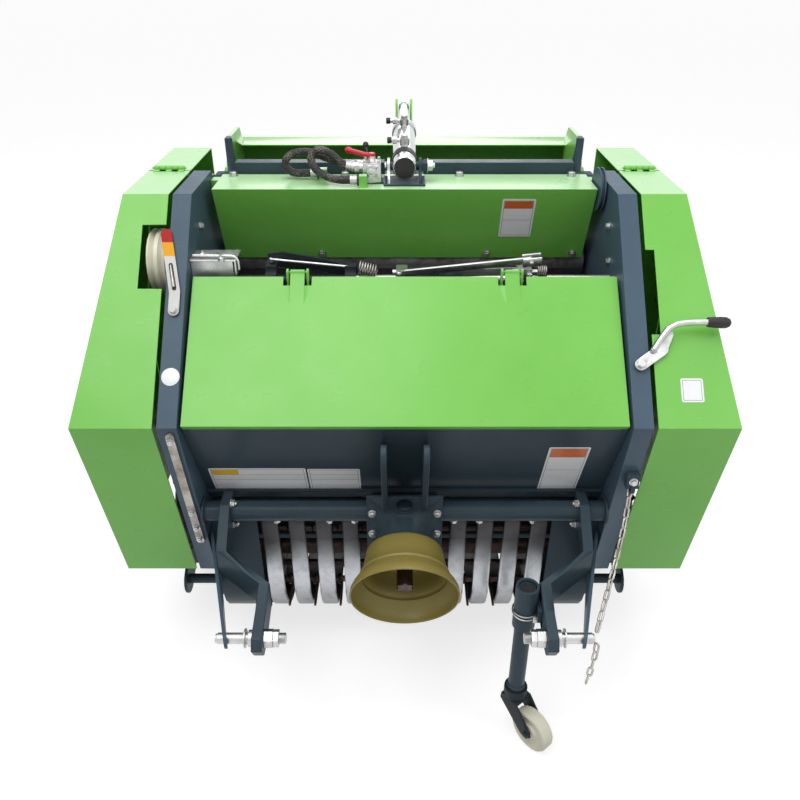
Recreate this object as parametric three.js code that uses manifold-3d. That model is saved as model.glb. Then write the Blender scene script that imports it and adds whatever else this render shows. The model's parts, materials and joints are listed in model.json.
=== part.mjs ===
// Round baler for a compact tractor's three-point linkage.
// Millimetres. X runs across the machine, Y to its rear and Z up. The origin lies on the ground,
// midway between the side covers, a little ahead of the bale chamber.

import * as THREE from 'three';
import { mergeVertices } from 'three/addons/utils/BufferGeometryUtils.js';
import loadManifold from 'manifold-3d';

const wasm = await loadManifold();
wasm.setup();

// ---------------------------------------------------------------- driving dimensions

const fit = 0.3; // gap between pieces that touch

// side walls and the outline that walls and covers share
const wallInside = 441; // from the middle to a wall's inner face
const wallThickness = 5;
const postWidth = 39.5; // flange on a wall's front edge
const flangeThickness = 4;
const ridge = [-383, 761];
const topFront = [-42, 1118];
const topZ = topFront[1];
const coverToe = [-281, 300];
const splitY = 205; // where the tailgate meets the frame

// side covers
const coverGap = 8.5; // between post and cover
const coverWidth = 161;
const coverSheet = 3;
const coverTaper = 66; // how far the outer face leans in at the top
const coverHingeY = 147.5;
const coverRearY = 374;
const hingeGap = 2.5; // from the hinge line to each half's edge

// bale chamber
const chamber = [215, 585];
const rollerCircle = 310;
const rollerRadius = 55;
const rollerWall = 4;
const rollerPitch = 33; // degrees
const firstRoller = 97; // degrees from the rear, upwards
const floorRoller = 262;

// tailgate
const tailgateHinge = [240, 1080];
const tailgateGap = 5;
const tailgateSheet = 3;
const rearY = 596;
const stripFrontY = 425;
const stripRearY = 520;
const hingePinRadius = 9;

// pick-up
const reelCentre = [-125, 232];
const bandRadius = 145;
const bandWidth = 39;
const bandPitch = 61.5;
const bandCount = 11;
const bandSheet = 4;
const tineReach = 172;
const tineBarCircle = 92;
const tineBars = 4;

// hitch
const hitchTube = [-305, 495];
const hitchTubeRadius = 22.5;
const armRootX = 388;
const armX = 290;
const armWidth = 22;
const lowerPin = [-561, 381];
const lowerPinRadius = 11;
const topLinkPin = [-397, 708];
const topLinkHalf = 42;

// drive
const ptoMouth = [-473, 402];
const ptoDroop = THREE.MathUtils.degToRad(15.6);
const ptoRadius = 17.5;
const guardRim = 115;
const guardNeck = 82;
const guardLength = 108;
const guardWall = 4;
const housingRadius = 56;

// ground wheels and jack
const wheelY = 135;
const wheelRadius = 200;
const tyreWidth = 112;
const tyreGap = 56; // from a wall's outer face to the tyre
const rimRadius = 112;
const axleRadius = 15;
const jack = [250, -480];
const jackRadius = 18;
const jackSleeveRadius = 24;
const casterRadius = 50;
const casterWidth = 32;
const casterTrail = 60;
const casterAngle = THREE.MathUtils.degToRad(-51);

// tailgate cylinder
const cylinderPin = [100, 1141];
const rodPin = [500, 1195];
const barrelRadius = 26.5;
const barrelLength = 235;
const rodRadius = 14;

// ---------------------------------------------------------------- derived places

const postOuter = wallInside + postWidth;
const postMiddle = wallInside + postWidth / 2;
const wallOutside = wallInside + wallThickness;
const tyreInnerX = wallOutside + tyreGap;
const coverInside = postOuter + coverGap;
const coverOutside = coverInside + coverWidth;
const between = wallInside - fit; // half-length of what reaches from wall to wall
const slopeAngle = Math.atan2(topFront[1] - ridge[1], topFront[0] - ridge[0]);
const slopeLength = Math.hypot(topFront[0] - ridge[0], topFront[1] - ridge[1]);
const upperTopZ = topZ - 13; // top face of the upper cover

// ---------------------------------------------------------------- solids

function solidOf(geometry) {
  const bare = new THREE.BufferGeometry();
  bare.setAttribute('position', geometry.getAttribute('position').clone());
  if (geometry.index) {
    bare.setIndex(geometry.index.clone());
  }
  const merged = mergeVertices(bare, 1e-4);
  return new wasm.Manifold(new wasm.Mesh({
    numProp: 3,
    vertProperties: new Float32Array(merged.getAttribute('position').array),
    triVerts: new Uint32Array(merged.index.array),
  }));
}

function geometryOf(solid) {
  const mesh = solid.getMesh();
  const geometry = new THREE.BufferGeometry();
  geometry.setAttribute('position', new THREE.BufferAttribute(mesh.vertProperties, 3));
  geometry.setIndex(new THREE.BufferAttribute(mesh.triVerts, 1));
  geometry.computeVertexNormals();
  return geometry;
}

const joined = (...solids) => solids.flat().reduce((whole, piece) => whole.add(piece));
const without = (solid, ...cutters) => cutters.flat().reduce((rest, cutter) => rest.subtract(cutter), solid);

function block(x0, x1, y0, y1, z0, z1) {
  const geometry = new THREE.BoxGeometry(x1 - x0, y1 - y0, z1 - z0);
  geometry.translate((x0 + x1) / 2, (y0 + y1) / 2, (z0 + z1) / 2);
  return solidOf(geometry);
}

// a cylinder between two points
function rod(from, to, radius, sides = 18) {
  const start = new THREE.Vector3(...from);
  const along = new THREE.Vector3(...to).sub(start);
  const geometry = new THREE.CylinderGeometry(radius, radius, along.length(), sides);
  geometry.translate(0, along.length() / 2, 0);
  const turn = new THREE.Quaternion().setFromUnitVectors(new THREE.Vector3(0, 1, 0), along.normalize());
  geometry.applyQuaternion(turn);
  geometry.translate(start.x, start.y, start.z);
  return solidOf(geometry);
}

const crossRod = (centre, x0, x1, radius, sides = 18) =>
  rod([x0, ...centre], [x1, ...centre], radius, sides);

// a plate that stands along the machine: a (Y, Z) outline from x0 to x1
function sidePlate(outline, x0, x1) {
  const shape = new THREE.Shape(outline.map(([y, z]) => new THREE.Vector2(y, z)));
  const geometry = new THREE.ExtrudeGeometry(shape, { depth: x1 - x0, bevelEnabled: false });
  geometry.applyMatrix4(new THREE.Matrix4().set(0, 0, 1, x0, 1, 0, 0, 0, 0, 1, 0, 0, 0, 0, 0, 1));
  return solidOf(geometry);
}

// the same plate, bent sideways: it starts at x at yStart and gains lean for each millimetre of Y
function leaningPlate(outline, x, thickness, yStart, lean) {
  const shape = new THREE.Shape(outline.map(([y, z]) => new THREE.Vector2(y, z)));
  const geometry = new THREE.ExtrudeGeometry(shape, { depth: thickness, bevelEnabled: false });
  geometry.applyMatrix4(new THREE.Matrix4().set(
    lean, 0, 1, x - lean * yStart - thickness / 2, 1, 0, 0, 0, 0, 1, 0, 0, 0, 0, 0, 1,
  ));
  return solidOf(geometry);
}

// a lathe turned about X, from a profile of [x, radius] that closes on itself or on the axis
function turned(profile, sides = 40) {
  const geometry = new THREE.LatheGeometry(profile.map(([x, r]) => new THREE.Vector2(r, x)), sides);
  geometry.applyMatrix4(new THREE.Matrix4().makeRotationZ(-Math.PI / 2));
  return outward(geometry);
}

// a closed lathe drawn the wrong way round is turned inside out
function outward(geometry) {
  const solid = solidOf(geometry);
  if (solid.status() === 'NoError' && solid.volume() > 0) {
    return solid;
  }
  const index = geometry.index.array;
  for (let i = 0; i < index.length; i += 3) {
    [index[i], index[i + 1]] = [index[i + 1], index[i]];
  }
  return solidOf(geometry);
}

// a round bar along a smooth route
function bar(points, radius, sides, steps) {
  const path = new THREE.CatmullRomCurve3(points.map((p) => new THREE.Vector3(...p)), false, 'centripetal');
  const section = new THREE.Shape();
  for (let i = 0; i < sides; i += 1) {
    const angle = (2 * Math.PI * i) / sides;
    const x = radius * Math.cos(angle);
    const y = radius * Math.sin(angle);
    if (i === 0) {
      section.moveTo(x, y);
    } else {
      section.lineTo(x, y);
    }
  }
  return solidOf(new THREE.ExtrudeGeometry(section, { steps, extrudePath: path, bevelEnabled: false }));
}

const polar = ([y, z], radius, degrees) => {
  const angle = THREE.MathUtils.degToRad(degrees);
  return [y + radius * Math.cos(angle), z + radius * Math.sin(angle)];
};

function arc(centre, radius, from, to, count) {
  const step = (to - from) / count;
  return Array.from({ length: count + 1 }, (_, i) => polar(centre, radius, from + step * i));
}

// the open path moved sideways, to its right when walked from first to last
function offsetPath(path, distance) {
  const normals = path.slice(1).map(([y, z], i) => {
    const length = Math.hypot(y - path[i][0], z - path[i][1]);
    return [(z - path[i][1]) / length, -(y - path[i][0]) / length];
  });
  return path.map(([y, z], i) => {
    const before = normals[Math.max(i - 1, 0)];
    const after = normals[Math.min(i, normals.length - 1)];
    const share = distance / (1 + before[0] * after[0] + before[1] * after[1]);
    return [y + (before[0] + after[0]) * share, z + (before[1] + after[1]) * share];
  });
}

// a bent sheet: the path, given its thickness on the right
const sheet = (path, thickness, x0, x1) =>
  sidePlate([...path, ...offsetPath(path, thickness).reverse()], x0, x1);

// the outline around two discs of one radius: a link or strap with round ends
function strap(a, b, radius, count = 8) {
  const heading = THREE.MathUtils.radToDeg(Math.atan2(b[1] - a[1], b[0] - a[0]));
  return [
    ...arc(a, radius, heading + 90, heading + 270, count),
    ...arc(b, radius, heading - 90, heading + 90, count),
  ];
}

// ---------------------------------------------------------------- the machine

const baler = new THREE.Group();
baler.name = 'round_baler';

const paint = {
  green: new THREE.MeshStandardMaterial({ color: 0x6fbf45, roughness: 0.32, metalness: 0.0 }),
  slate: new THREE.MeshStandardMaterial({ color: 0x3d4b5a, roughness: 0.45, metalness: 0.0 }),
  olive: new THREE.MeshStandardMaterial({ color: 0x8c803f, roughness: 0.5, metalness: 0.0 }),
  zinc: new THREE.MeshStandardMaterial({ color: 0xc4c8cb, roughness: 0.35, metalness: 0.9 }),
  band: new THREE.MeshStandardMaterial({ color: 0xb0b4b7, roughness: 0.4, metalness: 0.85 }),
  steel: new THREE.MeshStandardMaterial({ color: 0x55585a, roughness: 0.5, metalness: 0.8 }),
  chrome: new THREE.MeshStandardMaterial({ color: 0xd8dadc, roughness: 0.15, metalness: 1.0 }),
  rubber: new THREE.MeshStandardMaterial({ color: 0x1d1e1f, roughness: 0.85, metalness: 0.0 }),
  nylon: new THREE.MeshStandardMaterial({ color: 0xe6e3d4, roughness: 0.5, metalness: 0.0 }),
};

function add(name, solid, material, parent = baler) {
  const mesh = new THREE.Mesh(geometryOf(solid), material);
  mesh.name = name;
  parent.add(mesh);
  return mesh;
}

// both sides of the machine: make(side) gives the right-hand solid, and the left is its mirror image
function addPair(name, solid, material) {
  add(`right_${name}`, solid, material);
  add(`left_${name}`, solid.mirror([1, 0, 0]), material);
}

// ---- side walls

const wallBottomZ = 236;
const wallNose = [-205, 172];
const frontEdge = [coverToe, ridge, topFront, [coverHingeY, topZ]];

function sideWall() {
  const outline = [
    ...frontEdge,
    [tailgateHinge[0] - 42, tailgateHinge[1] - 36],
    [splitY - 5, tailgateHinge[1] - 60],
    [splitY, tailgateHinge[1] - 80],
    [splitY, wallBottomZ],
    [60, wallBottomZ],
    [10, 150],
    [-170, 150],
    ...arc([wallNose[0] + 25, wallNose[1] + 5], 28, 250, 190, 3),
  ];
  const flange = sheet(frontEdge, flangeThickness, wallInside, postOuter);
  return joined(sidePlate(outline, wallInside, wallOutside), flange);
}

// a plate from the wall's lower front corner to the outer end of the lower pin
const braceThickness = 7;
const braceX = 358;
const braceRootY = -283;

function hitchBrace() {
  const lean = (wallInside + 1 - braceThickness / 2 - braceX) / (braceRootY - lowerPin[0]);
  const outline = [[braceRootY, 420], [-276, 420], [-276, 235], [braceRootY, 235], [-545, 360],
    ...arc(lowerPin, 20, 240, 120, 6), [-540, 400]];
  return without(
    leaningPlate(outline, braceX, braceThickness, lowerPin[0], lean),
    crossRod(lowerPin, 300, 480, lowerPinRadius + 0.4, 20),
    block(wallOutside, 600, -700, 0, 0, 700),
  );
}

// a grooved pulley on a stub inside the right wall, at the end of the upper cover
const pulley = { centre: [78, 1094], radius: 48, x: [424.5, 436.5] };

function ropePulley() {
  return joined(
    crossRod(pulley.centre, pulley.x[0], pulley.x[0] + 3, pulley.radius, 20),
    crossRod(pulley.centre, pulley.x[0] + 2, pulley.x[1] - 2, pulley.radius - 8, 20),
    crossRod(pulley.centre, pulley.x[1] - 3, pulley.x[1], pulley.radius, 20),
    crossRod(pulley.centre, pulley.x[0], wallInside + 1, 9, 16),
  );
}

const bracedWall = sideWall().add(hitchBrace());

add('right_side_wall', bracedWall.add(ropePulley()), paint.slate);
add('left_side_wall', bracedWall.mirror([1, 0, 0]), paint.slate);

// ---- side covers: a hinged front half and a fixed rear half

const taperStart = ridge[1];

// what lies outside the leaning outer face, from the ridge up
function taperCut(inset) {
  const low = coverOutside - inset;
  const rise = topZ - taperStart;
  const lean = coverTaper / rise;
  const height = rise * 1.5;
  const shape = new THREE.Shape([
    new THREE.Vector2(low, taperStart),
    new THREE.Vector2(low + 60, taperStart - 1),
    new THREE.Vector2(low + 60, taperStart + height),
    new THREE.Vector2(low - lean * height, taperStart + height),
  ]);
  const length = 1400;
  const geometry = new THREE.ExtrudeGeometry(shape, { depth: length, bevelEnabled: false });
  geometry.rotateX(Math.PI / 2);
  geometry.translate(0, length / 2, 0);
  return solidOf(geometry);
}

function coverShell(path, floorZ, endY) {
  const outer = without(sidePlate([...path, [endY, floorZ]], coverInside, coverOutside), taperCut(0));
  const inside = offsetPath(path, coverSheet);
  const below = floorZ - 40;
  const beyond = endY + 20;
  const hollow = sidePlate(
    [[inside[0][0] + 1, below], ...inside, [beyond, inside[inside.length - 1][1]], [beyond, below]],
    coverInside - 20,
    coverOutside - coverSheet,
  );
  return without(outer, without(hollow, taperCut(coverSheet)));
}

const knuckle = { radius: 5.5, bore: 3.2, pin: 2.4 };
const coverHinge = [coverHingeY, topZ + knuckle.radius + fit + 0.2];
const coverHingeSpan = [coverInside + 12, coverOutside - coverTaper - 14];

function knuckles(from, to, count, parity) {
  const step = (to - from) / count;
  const rings = [];
  for (let i = parity; i < count; i += 2) {
    rings.push(crossRod(coverHinge, from + step * i + fit, from + step * (i + 1) - fit, knuckle.radius, 8));
  }
  return rings;
}

// an opening in a cover's sloping face, beside its inner edge
function slopeNotch({ width, from, to }) {
  const notch = new THREE.BoxGeometry(width + 20, to - from, 60);
  notch.translate(coverInside + (width - 20) / 2, (from + to) / 2, 0);
  notch.applyMatrix4(new THREE.Matrix4().makeRotationX(slopeAngle));
  notch.translate(0, ...ridge);
  return solidOf(notch);
}

const sheaveNotch = { width: 49, from: 286, to: 425 };
const lookNotch = { width: 18, from: 190, to: 370 };

function frontCover(notch) {
  const path = [coverToe, ridge, topFront, [coverHingeY - hingeGap, topZ]];
  const shell = coverShell(path, coverToe[1], coverHingeY - hingeGap);
  const rings = without(
    joined(knuckles(...coverHingeSpan, 5, 0)),
    crossRod(coverHinge, coverHingeSpan[0] - 5, coverHingeSpan[1] + 5, knuckle.bore, 8),
  );
  const strips = [0, 2, 4].map((i) => {
    const step = (coverHingeSpan[1] - coverHingeSpan[0]) / 5;
    const x0 = coverHingeSpan[0] + step * i + fit;
    return block(x0, x0 + step - 2 * fit, coverHingeY - 12, coverHingeY - 3, topZ - 0.5, topZ + 3);
  });
  return without(joined(shell, rings, strips), slopeNotch(notch));
}

add('right_front_cover', frontCover(lookNotch), paint.green);
add('left_front_cover', frontCover(sheaveNotch).mirror([1, 0, 0]), paint.green);

function rearCover() {
  const start = coverHingeY + hingeGap;
  const outer = without(
    sidePlate([[start, coverToe[1]], [start, topZ], [coverRearY, topZ], [coverRearY, coverToe[1]]],
      coverInside, coverOutside),
    taperCut(0),
  );
  const below = coverToe[1] - 40;
  const back = coverRearY - coverSheet;
  const hollow = sidePlate(
    [[start - 20, below], [start - 20, topZ - coverSheet], [back, topZ - coverSheet], [back, below]],
    coverInside - 20,
    coverOutside - coverSheet,
  );
  const shell = without(outer, without(hollow, taperCut(coverSheet)));
  const rings = knuckles(...coverHingeSpan, 5, 1);
  const pin = crossRod(coverHinge, coverHingeSpan[0] - 4, coverHingeSpan[1] + 4, knuckle.pin, 6);
  const step = (coverHingeSpan[1] - coverHingeSpan[0]) / 5;
  const strips = [1, 3].map((i) => {
    const x0 = coverHingeSpan[0] + step * i + fit;
    return block(x0, x0 + step - 2 * fit, coverHingeY + 3, coverHingeY + 12, topZ - 0.5, topZ + 3);
  });
  // two rails carry the cover from the wall
  const rails = [topZ - 24, coverToe[1] + 110].map((z) =>
    block(wallOutside + fit, coverOutside - coverTaper - 10, splitY - 34, splitY - 14, z, z + 6));
  const reach = block(coverOutside - coverTaper - 20, coverOutside - coverSheet + 1, splitY - 34, splitY - 14,
    coverToe[1] + 110, coverToe[1] + 116);
  const hanger = block(coverInside + 20, coverInside + 30, splitY - 34, splitY - 14, topZ - 20, topZ - 2);
  return joined(shell, rings, pin, strips, rails, reach, hanger);
}

addPair('rear_cover', rearCover(), paint.green);

// ---- bale chamber rollers: four in front, one in the floor, five in the tailgate

const rollerAt = (degrees) => polar(chamber, rollerCircle, degrees);

function addRoller(name, degrees) {
  const [y, z] = rollerAt(degrees);
  const half = between - 10;
  const tube = without(
    crossRod([0, 0], -half, half, rollerRadius, 14),
    crossRod([0, 0], -half - 1, half + 1, rollerRadius - rollerWall, 14),
  );
  // each end has a cross bar with a journal, which leaves the tube open
  const ends = [-1, 1].map((side) => {
    const x = side * (half - 10);
    return joined(
      block(x - 5, x + 5, -rollerRadius + 2, rollerRadius - 2, -12, 12),
      crossRod([0, 0], Math.min(x, side * between), Math.max(x, side * between), 17, 6),
    );
  });
  add(name, joined(tube, ends), paint.steel).position.set(0, y, z);
}

for (let i = 0; i < 4; i += 1) {
  addRoller(`front_roller_${i + 1}`, firstRoller + rollerPitch * i);
}
addRoller('floor_roller', floorRoller);
for (let i = 0; i < 5; i += 1) {
  addRoller(`rear_roller_${i + 1}`, firstRoller - rollerPitch * (i + 1));
}

// ---- top cross beam with the tailgate's hinge lugs

const beam = { y: [168, 208], z: [topZ - 56, topZ - 16] };
const lug = { x: 405, thickness: 10, radius: 22 };
const ear = { x: lug.x + lug.thickness + 5, thickness: 9, radius: 24, topZ: 1162 };
const towerTopZ = 1178;

function crossBeam() {
  const tube = block(-between, between, ...beam.y, ...beam.z);
  const riser = without(
    block(-392, 392, beam.y[0] + 3, beam.y[1] - 3, beam.z[1] - 2, topZ + 12),
    block(-45, 45, beam.y[0], beam.y[1], beam.z[1], topZ + 20),
  );
  const shelf = block(-410, 410, beam.y[0] - 28, beam.y[0] + 5, upperTopZ - 8 - fit, upperTopZ - 4 - fit);
  const lugs = [-1, 1].map((side) => {
    const plate = sidePlate(
      [[beam.y[1] - 2, beam.z[0]], ...arc(tailgateHinge, lug.radius, -70, 90, 8), [beam.y[1] - 2, beam.z[1]]],
      lug.x, lug.x + lug.thickness,
    );
    const pin = crossRod(tailgateHinge, lug.x, ear.x + ear.thickness + 4, hingePinRadius, 20);
    const tower = sidePlate(
      [[beam.y[1] - 4, beam.z[0]], [beam.y[1] - 4, towerTopZ], [beam.y[1] + 20, towerTopZ],
        [tailgateHinge[0] + 16, topZ], [tailgateHinge[0] + 8, tailgateHinge[1]]],
      lug.x, lug.x + lug.thickness,
    );
    const face = block(lug.x - 8, lug.x + lug.thickness, beam.y[1] - 8, beam.y[1] - 3,
      beam.z[0] + 2, towerTopZ);
    const right = joined(plate, pin, tower, face);
    return side > 0 ? right : right.mirror([1, 0, 0]);
  });
  return joined(tube, riser, shelf, lugs);
}

add('top_cross_beam', crossBeam(), paint.slate);

// ---- upper cover over the front of the chamber

const upperCover = { half: 420, front: [40, upperTopZ], foot: [109, 924], rear: 166, sheet: 4 };
const glands = [{ x: -100, y: 62 }, { x: -192, y: 120 }];

function upperHood() {
  const path = [[upperCover.foot[0] + 10, upperCover.foot[1] - 3], upperCover.foot, upperCover.front,
    [upperCover.rear, upperTopZ]];
  const hood = sheet(path, upperCover.sheet, -upperCover.half, upperCover.half);
  // cleats reach the walls at both ends
  const cleats = [-1, 1].map((side) => {
    const cleat = block(upperCover.half - 6, between, 128, 158, upperTopZ - 34, upperTopZ - 4);
    const web = block(upperCover.half - 6, upperCover.half, 128, 158, upperTopZ - 34, upperTopZ - 1);
    const right = cleat.add(web);
    return side > 0 ? right : right.mirror([1, 0, 0]);
  });
  const hoseGlands = glands.map(({ x, y }) =>
    block(x, x + 18, y - 10, y + 10, upperTopZ - 1, upperTopZ + 25));
  return joined(hood, cleats, hoseGlands);
}

add('upper_cover', upperHood(), paint.green);

// ---- twine box under the front lid

const lidFoot = [-377.5, 762];
const lidHead = [-143, 977];
const lidHinge = [-137, 984];
const lidHalf = 435;
const lidLeaf = { x: 205, width: 30 };
const twineBack = -150;
const lowerPlate = [[-244, 485], [-360, 745]]; // the box's sloping front

function twineBox() {
  const tray = sheet([[twineBack, 950], [twineBack, 520], [-256, 520]].reverse(), -3, -between, between);
  const lugs = [-1, 1].flatMap((side) => [lidLeaf.x - 8, lidLeaf.x + lidLeaf.width + 3].map((x) => {
    const plate = sidePlate(
      [[twineBack - 2, 925], [twineBack + 20, 925], ...arc(lidHinge, 7, 0, 180, 8), [lidHinge[0] - 7, 962],
        [twineBack - 2, 948]],
      x, x + 5,
    );
    return side > 0 ? plate : plate.mirror([1, 0, 0]);
  }));
  const pins = [-1, 1].map((side) => {
    const pin = crossRod(lidHinge, lidLeaf.x - 8, lidLeaf.x + lidLeaf.width + 8, knuckle.pin, 6);
    return side > 0 ? pin : pin.mirror([1, 0, 0]);
  });
  const front = sheet(lowerPlate, 5, -between, between);
  const floorJoint = block(-between, between, -268, -250, 517, 523);
  return joined(tray, lugs, pins, front, floorJoint);
}

add('twine_box', twineBox(), paint.slate);

function frontLid() {
  const lip = [lidFoot[0] + 12, lidFoot[1] - 14];
  const plate = sheet([lip, lidFoot, lidHead], 3, -lidHalf, lidHalf);
  const reliefs = [-1, 1].map((side) => {
    const cut = block(lidLeaf.x - 14, lidLeaf.x + lidLeaf.width + 14, -158, -120, 930, 1000);
    return side > 0 ? cut : cut.mirror([1, 0, 0]);
  });
  const leaves = [-1, 1].map((side) => {
    const leaf = sheet([[-190, 933.9], [-150, 975], [lidHinge[0], lidHinge[1] + 4.6]], 3,
      lidLeaf.x + fit, lidLeaf.x + lidLeaf.width - fit);
    const eye = crossRod(lidHinge, lidLeaf.x + fit, lidLeaf.x + lidLeaf.width - fit, knuckle.radius, 8);
    const bored = without(leaf.add(eye),
      crossRod(lidHinge, lidLeaf.x - 5, lidLeaf.x + lidLeaf.width + 5, knuckle.bore, 8));
    return side > 0 ? bored : bored.mirror([1, 0, 0]);
  });
  return joined(without(plate, reliefs), leaves);
}

add('front_lid', frontLid(), paint.green);

// ---- tailgate: two side plates and a folded rear skin, with the cylinder's lug on top

const tailgateFront = splitY + tailgateGap;
const stripZ = topZ - 4;
const skinPath = [[300, 214], [450, 240], [rearY, 450], [rearY, 860], [stripRearY, stripZ],
  [stripFrontY, stripZ]];
const lugHalf = 16;
const lugPlate = 6;

function tailgate() {
  const outline = [
    [tailgateFront, wallBottomZ + 4],
    ...skinPath,
    [stripFrontY, stripZ - 40],
    [tailgateHinge[0] + 30, tailgateHinge[1] - 30],
    [tailgateHinge[0] + 8, tailgateHinge[1] - 44],
    [tailgateFront, tailgateHinge[1] - 74],
  ];
  const skin = sheet(skinPath, -tailgateSheet, -wallOutside, wallOutside);
  const sides = [-1, 1].map((side) => {
    const plate = sidePlate(outline, wallInside, wallOutside);
    const arm = sidePlate(
      [...arc(tailgateHinge, ear.radius, 60, 250, 10), [tailgateHinge[0] + 20, tailgateHinge[1] - 60],
        [stripFrontY, stripZ - 60], [stripFrontY + 30, stripZ - 1], [stripFrontY - 15, ear.topZ],
        [tailgateHinge[0] + 55, ear.topZ]],
      ear.x, ear.x + ear.thickness,
    );
    const spacer = block(ear.x + ear.thickness - 1, wallInside + 1, stripFrontY - 40, stripFrontY - 5,
      stripZ - 62, stripZ - 45);
    const bore = crossRod(tailgateHinge, ear.x - 5, ear.x + ear.thickness + 5, hingePinRadius + 0.8, 20);
    const right = joined(plate, without(arm, bore), spacer);
    return side > 0 ? right : right.mirror([1, 0, 0]);
  });
  const lugs = [-1, 1].map((side) => {
    const plate = sidePlate(
      [[stripFrontY + 5, stripZ - 1], [stripRearY + 2, stripZ - 1], ...arc(rodPin, 20, -20, 150, 8)],
      lugHalf, lugHalf + lugPlate,
    );
    return side > 0 ? plate : plate.mirror([1, 0, 0]);
  });
  const bridge = block(-lugHalf - 1, lugHalf + 1, stripFrontY + 8, stripFrontY + 45, stripZ - 1, stripZ + 8);
  return joined(skin, sides, lugs, bridge);
}

add('tailgate', tailgate(), paint.green);

// covers over the tailgate's chain, one each side, behind the fixed side covers
const tailgateCoverWidth = 96;

function tailgateCover() {
  const front = coverRearY + 8;
  const inner = [[front, 330], [440, 300], [rearY - 22, 470], [rearY - 22, 840], [470, 1010], [front, 1040]];
  const outside = coverInside + tailgateCoverWidth;
  const outer = sidePlate(inner, wallOutside + fit, outside);
  const path = offsetPath(inner, -coverSheet);
  const wallY = front + coverSheet;
  const hollow = sidePlate([[wallY, path[0][1]], ...path.slice(1, -1), [wallY, path[5][1] - coverSheet]],
    wallOutside - 20, outside - coverSheet);
  return without(outer, hollow);
}

addPair('tailgate_cover', tailgateCover(), paint.green);

// ---- tailgate cylinder: barrel, rod and the bracket that holds its base

const cylinderAngle = Math.atan2(rodPin[1] - cylinderPin[1], rodPin[0] - cylinderPin[0]);
const cylinderSpan = Math.hypot(rodPin[0] - cylinderPin[0], rodPin[1] - cylinderPin[1]);
const earInside = barrelRadius + 5.5;
const earPlate = 6;
const basePinRadius = 8;
const boreRadius = rodRadius + 0.8;
const rodStart = 165;
const barrelTail = 15;

const cylinder = new THREE.Group();
cylinder.position.set(0, ...cylinderPin);
cylinder.rotation.x = cylinderAngle;
baler.add(cylinder);

const alongY = (from, to, radius, sides = 20) => rod([0, from, 0], [0, to, 0], radius, sides);

add('cylinder_barrel', without(
  joined(
    alongY(-barrelTail, barrelLength - barrelTail, barrelRadius),
    alongY(barrelLength - barrelTail - 22, barrelLength - barrelTail + 4, barrelRadius + 3),
    rod([0, 60, 0], [0, 60, barrelRadius + 14], 9, 14),
    rod([0, 190, 0], [0, 190, barrelRadius + 14], 9, 14),
  ),
  alongY(32, barrelLength, boreRadius),
  crossRod([0, 0], -40, 40, basePinRadius + 0.6, 20),
), paint.chrome, cylinder);

add('cylinder_rod', without(
  joined(alongY(rodStart, cylinderSpan - 10, rodRadius), crossRod([cylinderSpan, 0], -12, 12, 19, 24)),
  crossRod([cylinderSpan, 0], -20, 20, 10, 20),
), paint.chrome, cylinder);

function cylinderBracket() {
  const floor = upperTopZ + fit;
  const base = block(-earInside - earPlate - 8, earInside + earPlate + 8, 62, 138, floor, floor + 4);
  const ears = [-1, 1].map((side) => {
    const plate = sidePlate(
      [[66, floor + 2], [134, floor + 2], ...arc(cylinderPin, 17, -20, 200, 10)],
      earInside, earInside + earPlate,
    );
    return side > 0 ? plate : plate.mirror([1, 0, 0]);
  });
  const pin = crossRod(cylinderPin, -earInside - earPlate - 6, earInside + earPlate + 4, basePinRadius, 20);
  const head = crossRod(cylinderPin, earInside + earPlate - 1, earInside + earPlate + 11, 13, 6);
  return joined(base, ears, pin, head);
}

// ---- hitch: cross tube, top link bracket, lower arms, braces and pins

function crossTube() {
  return joined(
    crossRod(hitchTube, -between, between, hitchTubeRadius, 20),
    crossRod(hitchTube, between - 6, between, 32, 20),
    crossRod(hitchTube, -between, -between + 6, 32, 20),
  );
}

const bracketY = hitchTube[0] - hitchTubeRadius + 1;
const bracketPlate = 6;
const bracketHalf = 82;

function droopPoint(distance) {
  return [ptoMouth[0] + distance * Math.cos(ptoDroop), ptoMouth[1] + distance * Math.sin(ptoDroop)];
}

function topLinkBracket() {
  const plate = block(-bracketHalf, bracketHalf, bracketY - bracketPlate, bracketY, 360, 556);
  const ears = [-1, 1].map((side) => {
    const outline = [
      [bracketY - 1, 522], [bracketY - 26, 540], [topLinkPin[0] - 20, topLinkPin[1] - 10],
      ...arc(topLinkPin, 21, 180, 30, 8),
      [-346, 700], [-279, 549], [bracketY - 1, 549],
    ];
    const plateX = topLinkHalf - 6;
    const right = sidePlate(outline, plateX, plateX + 12);
    return side > 0 ? right : right.mirror([1, 0, 0]);
  });
  const plateAt = (bracketY - ptoMouth[0]) / Math.cos(ptoDroop);
  const housing = without(
    rod([0, ...droopPoint(guardLength - 8)], [0, ...droopPoint(plateAt + 12)], housingRadius, 28),
    block(-80, 80, bracketY - 1, bracketY + 60, 300, 600),
  );
  return without(
    joined(plate, ears, housing),
    rod([0, ...droopPoint(guardLength - 20)], [0, ...droopPoint(plateAt + 30)], ptoRadius + 9, 24),
    rod([0, bracketY - 30, 530], [0, bracketY + 5, 530], 18, 20),
    crossRod(topLinkPin, -80, 80, 10, 20),
  );
}

add('hitch_headstock', crossTube().add(topLinkBracket()), paint.slate);

// the arm leaves the tube, bends inwards and ends beyond the lower pin
const armBends = [-400, -465];
const armLean = (armRootX - armX) / (armBends[0] - armBends[1]);

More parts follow.
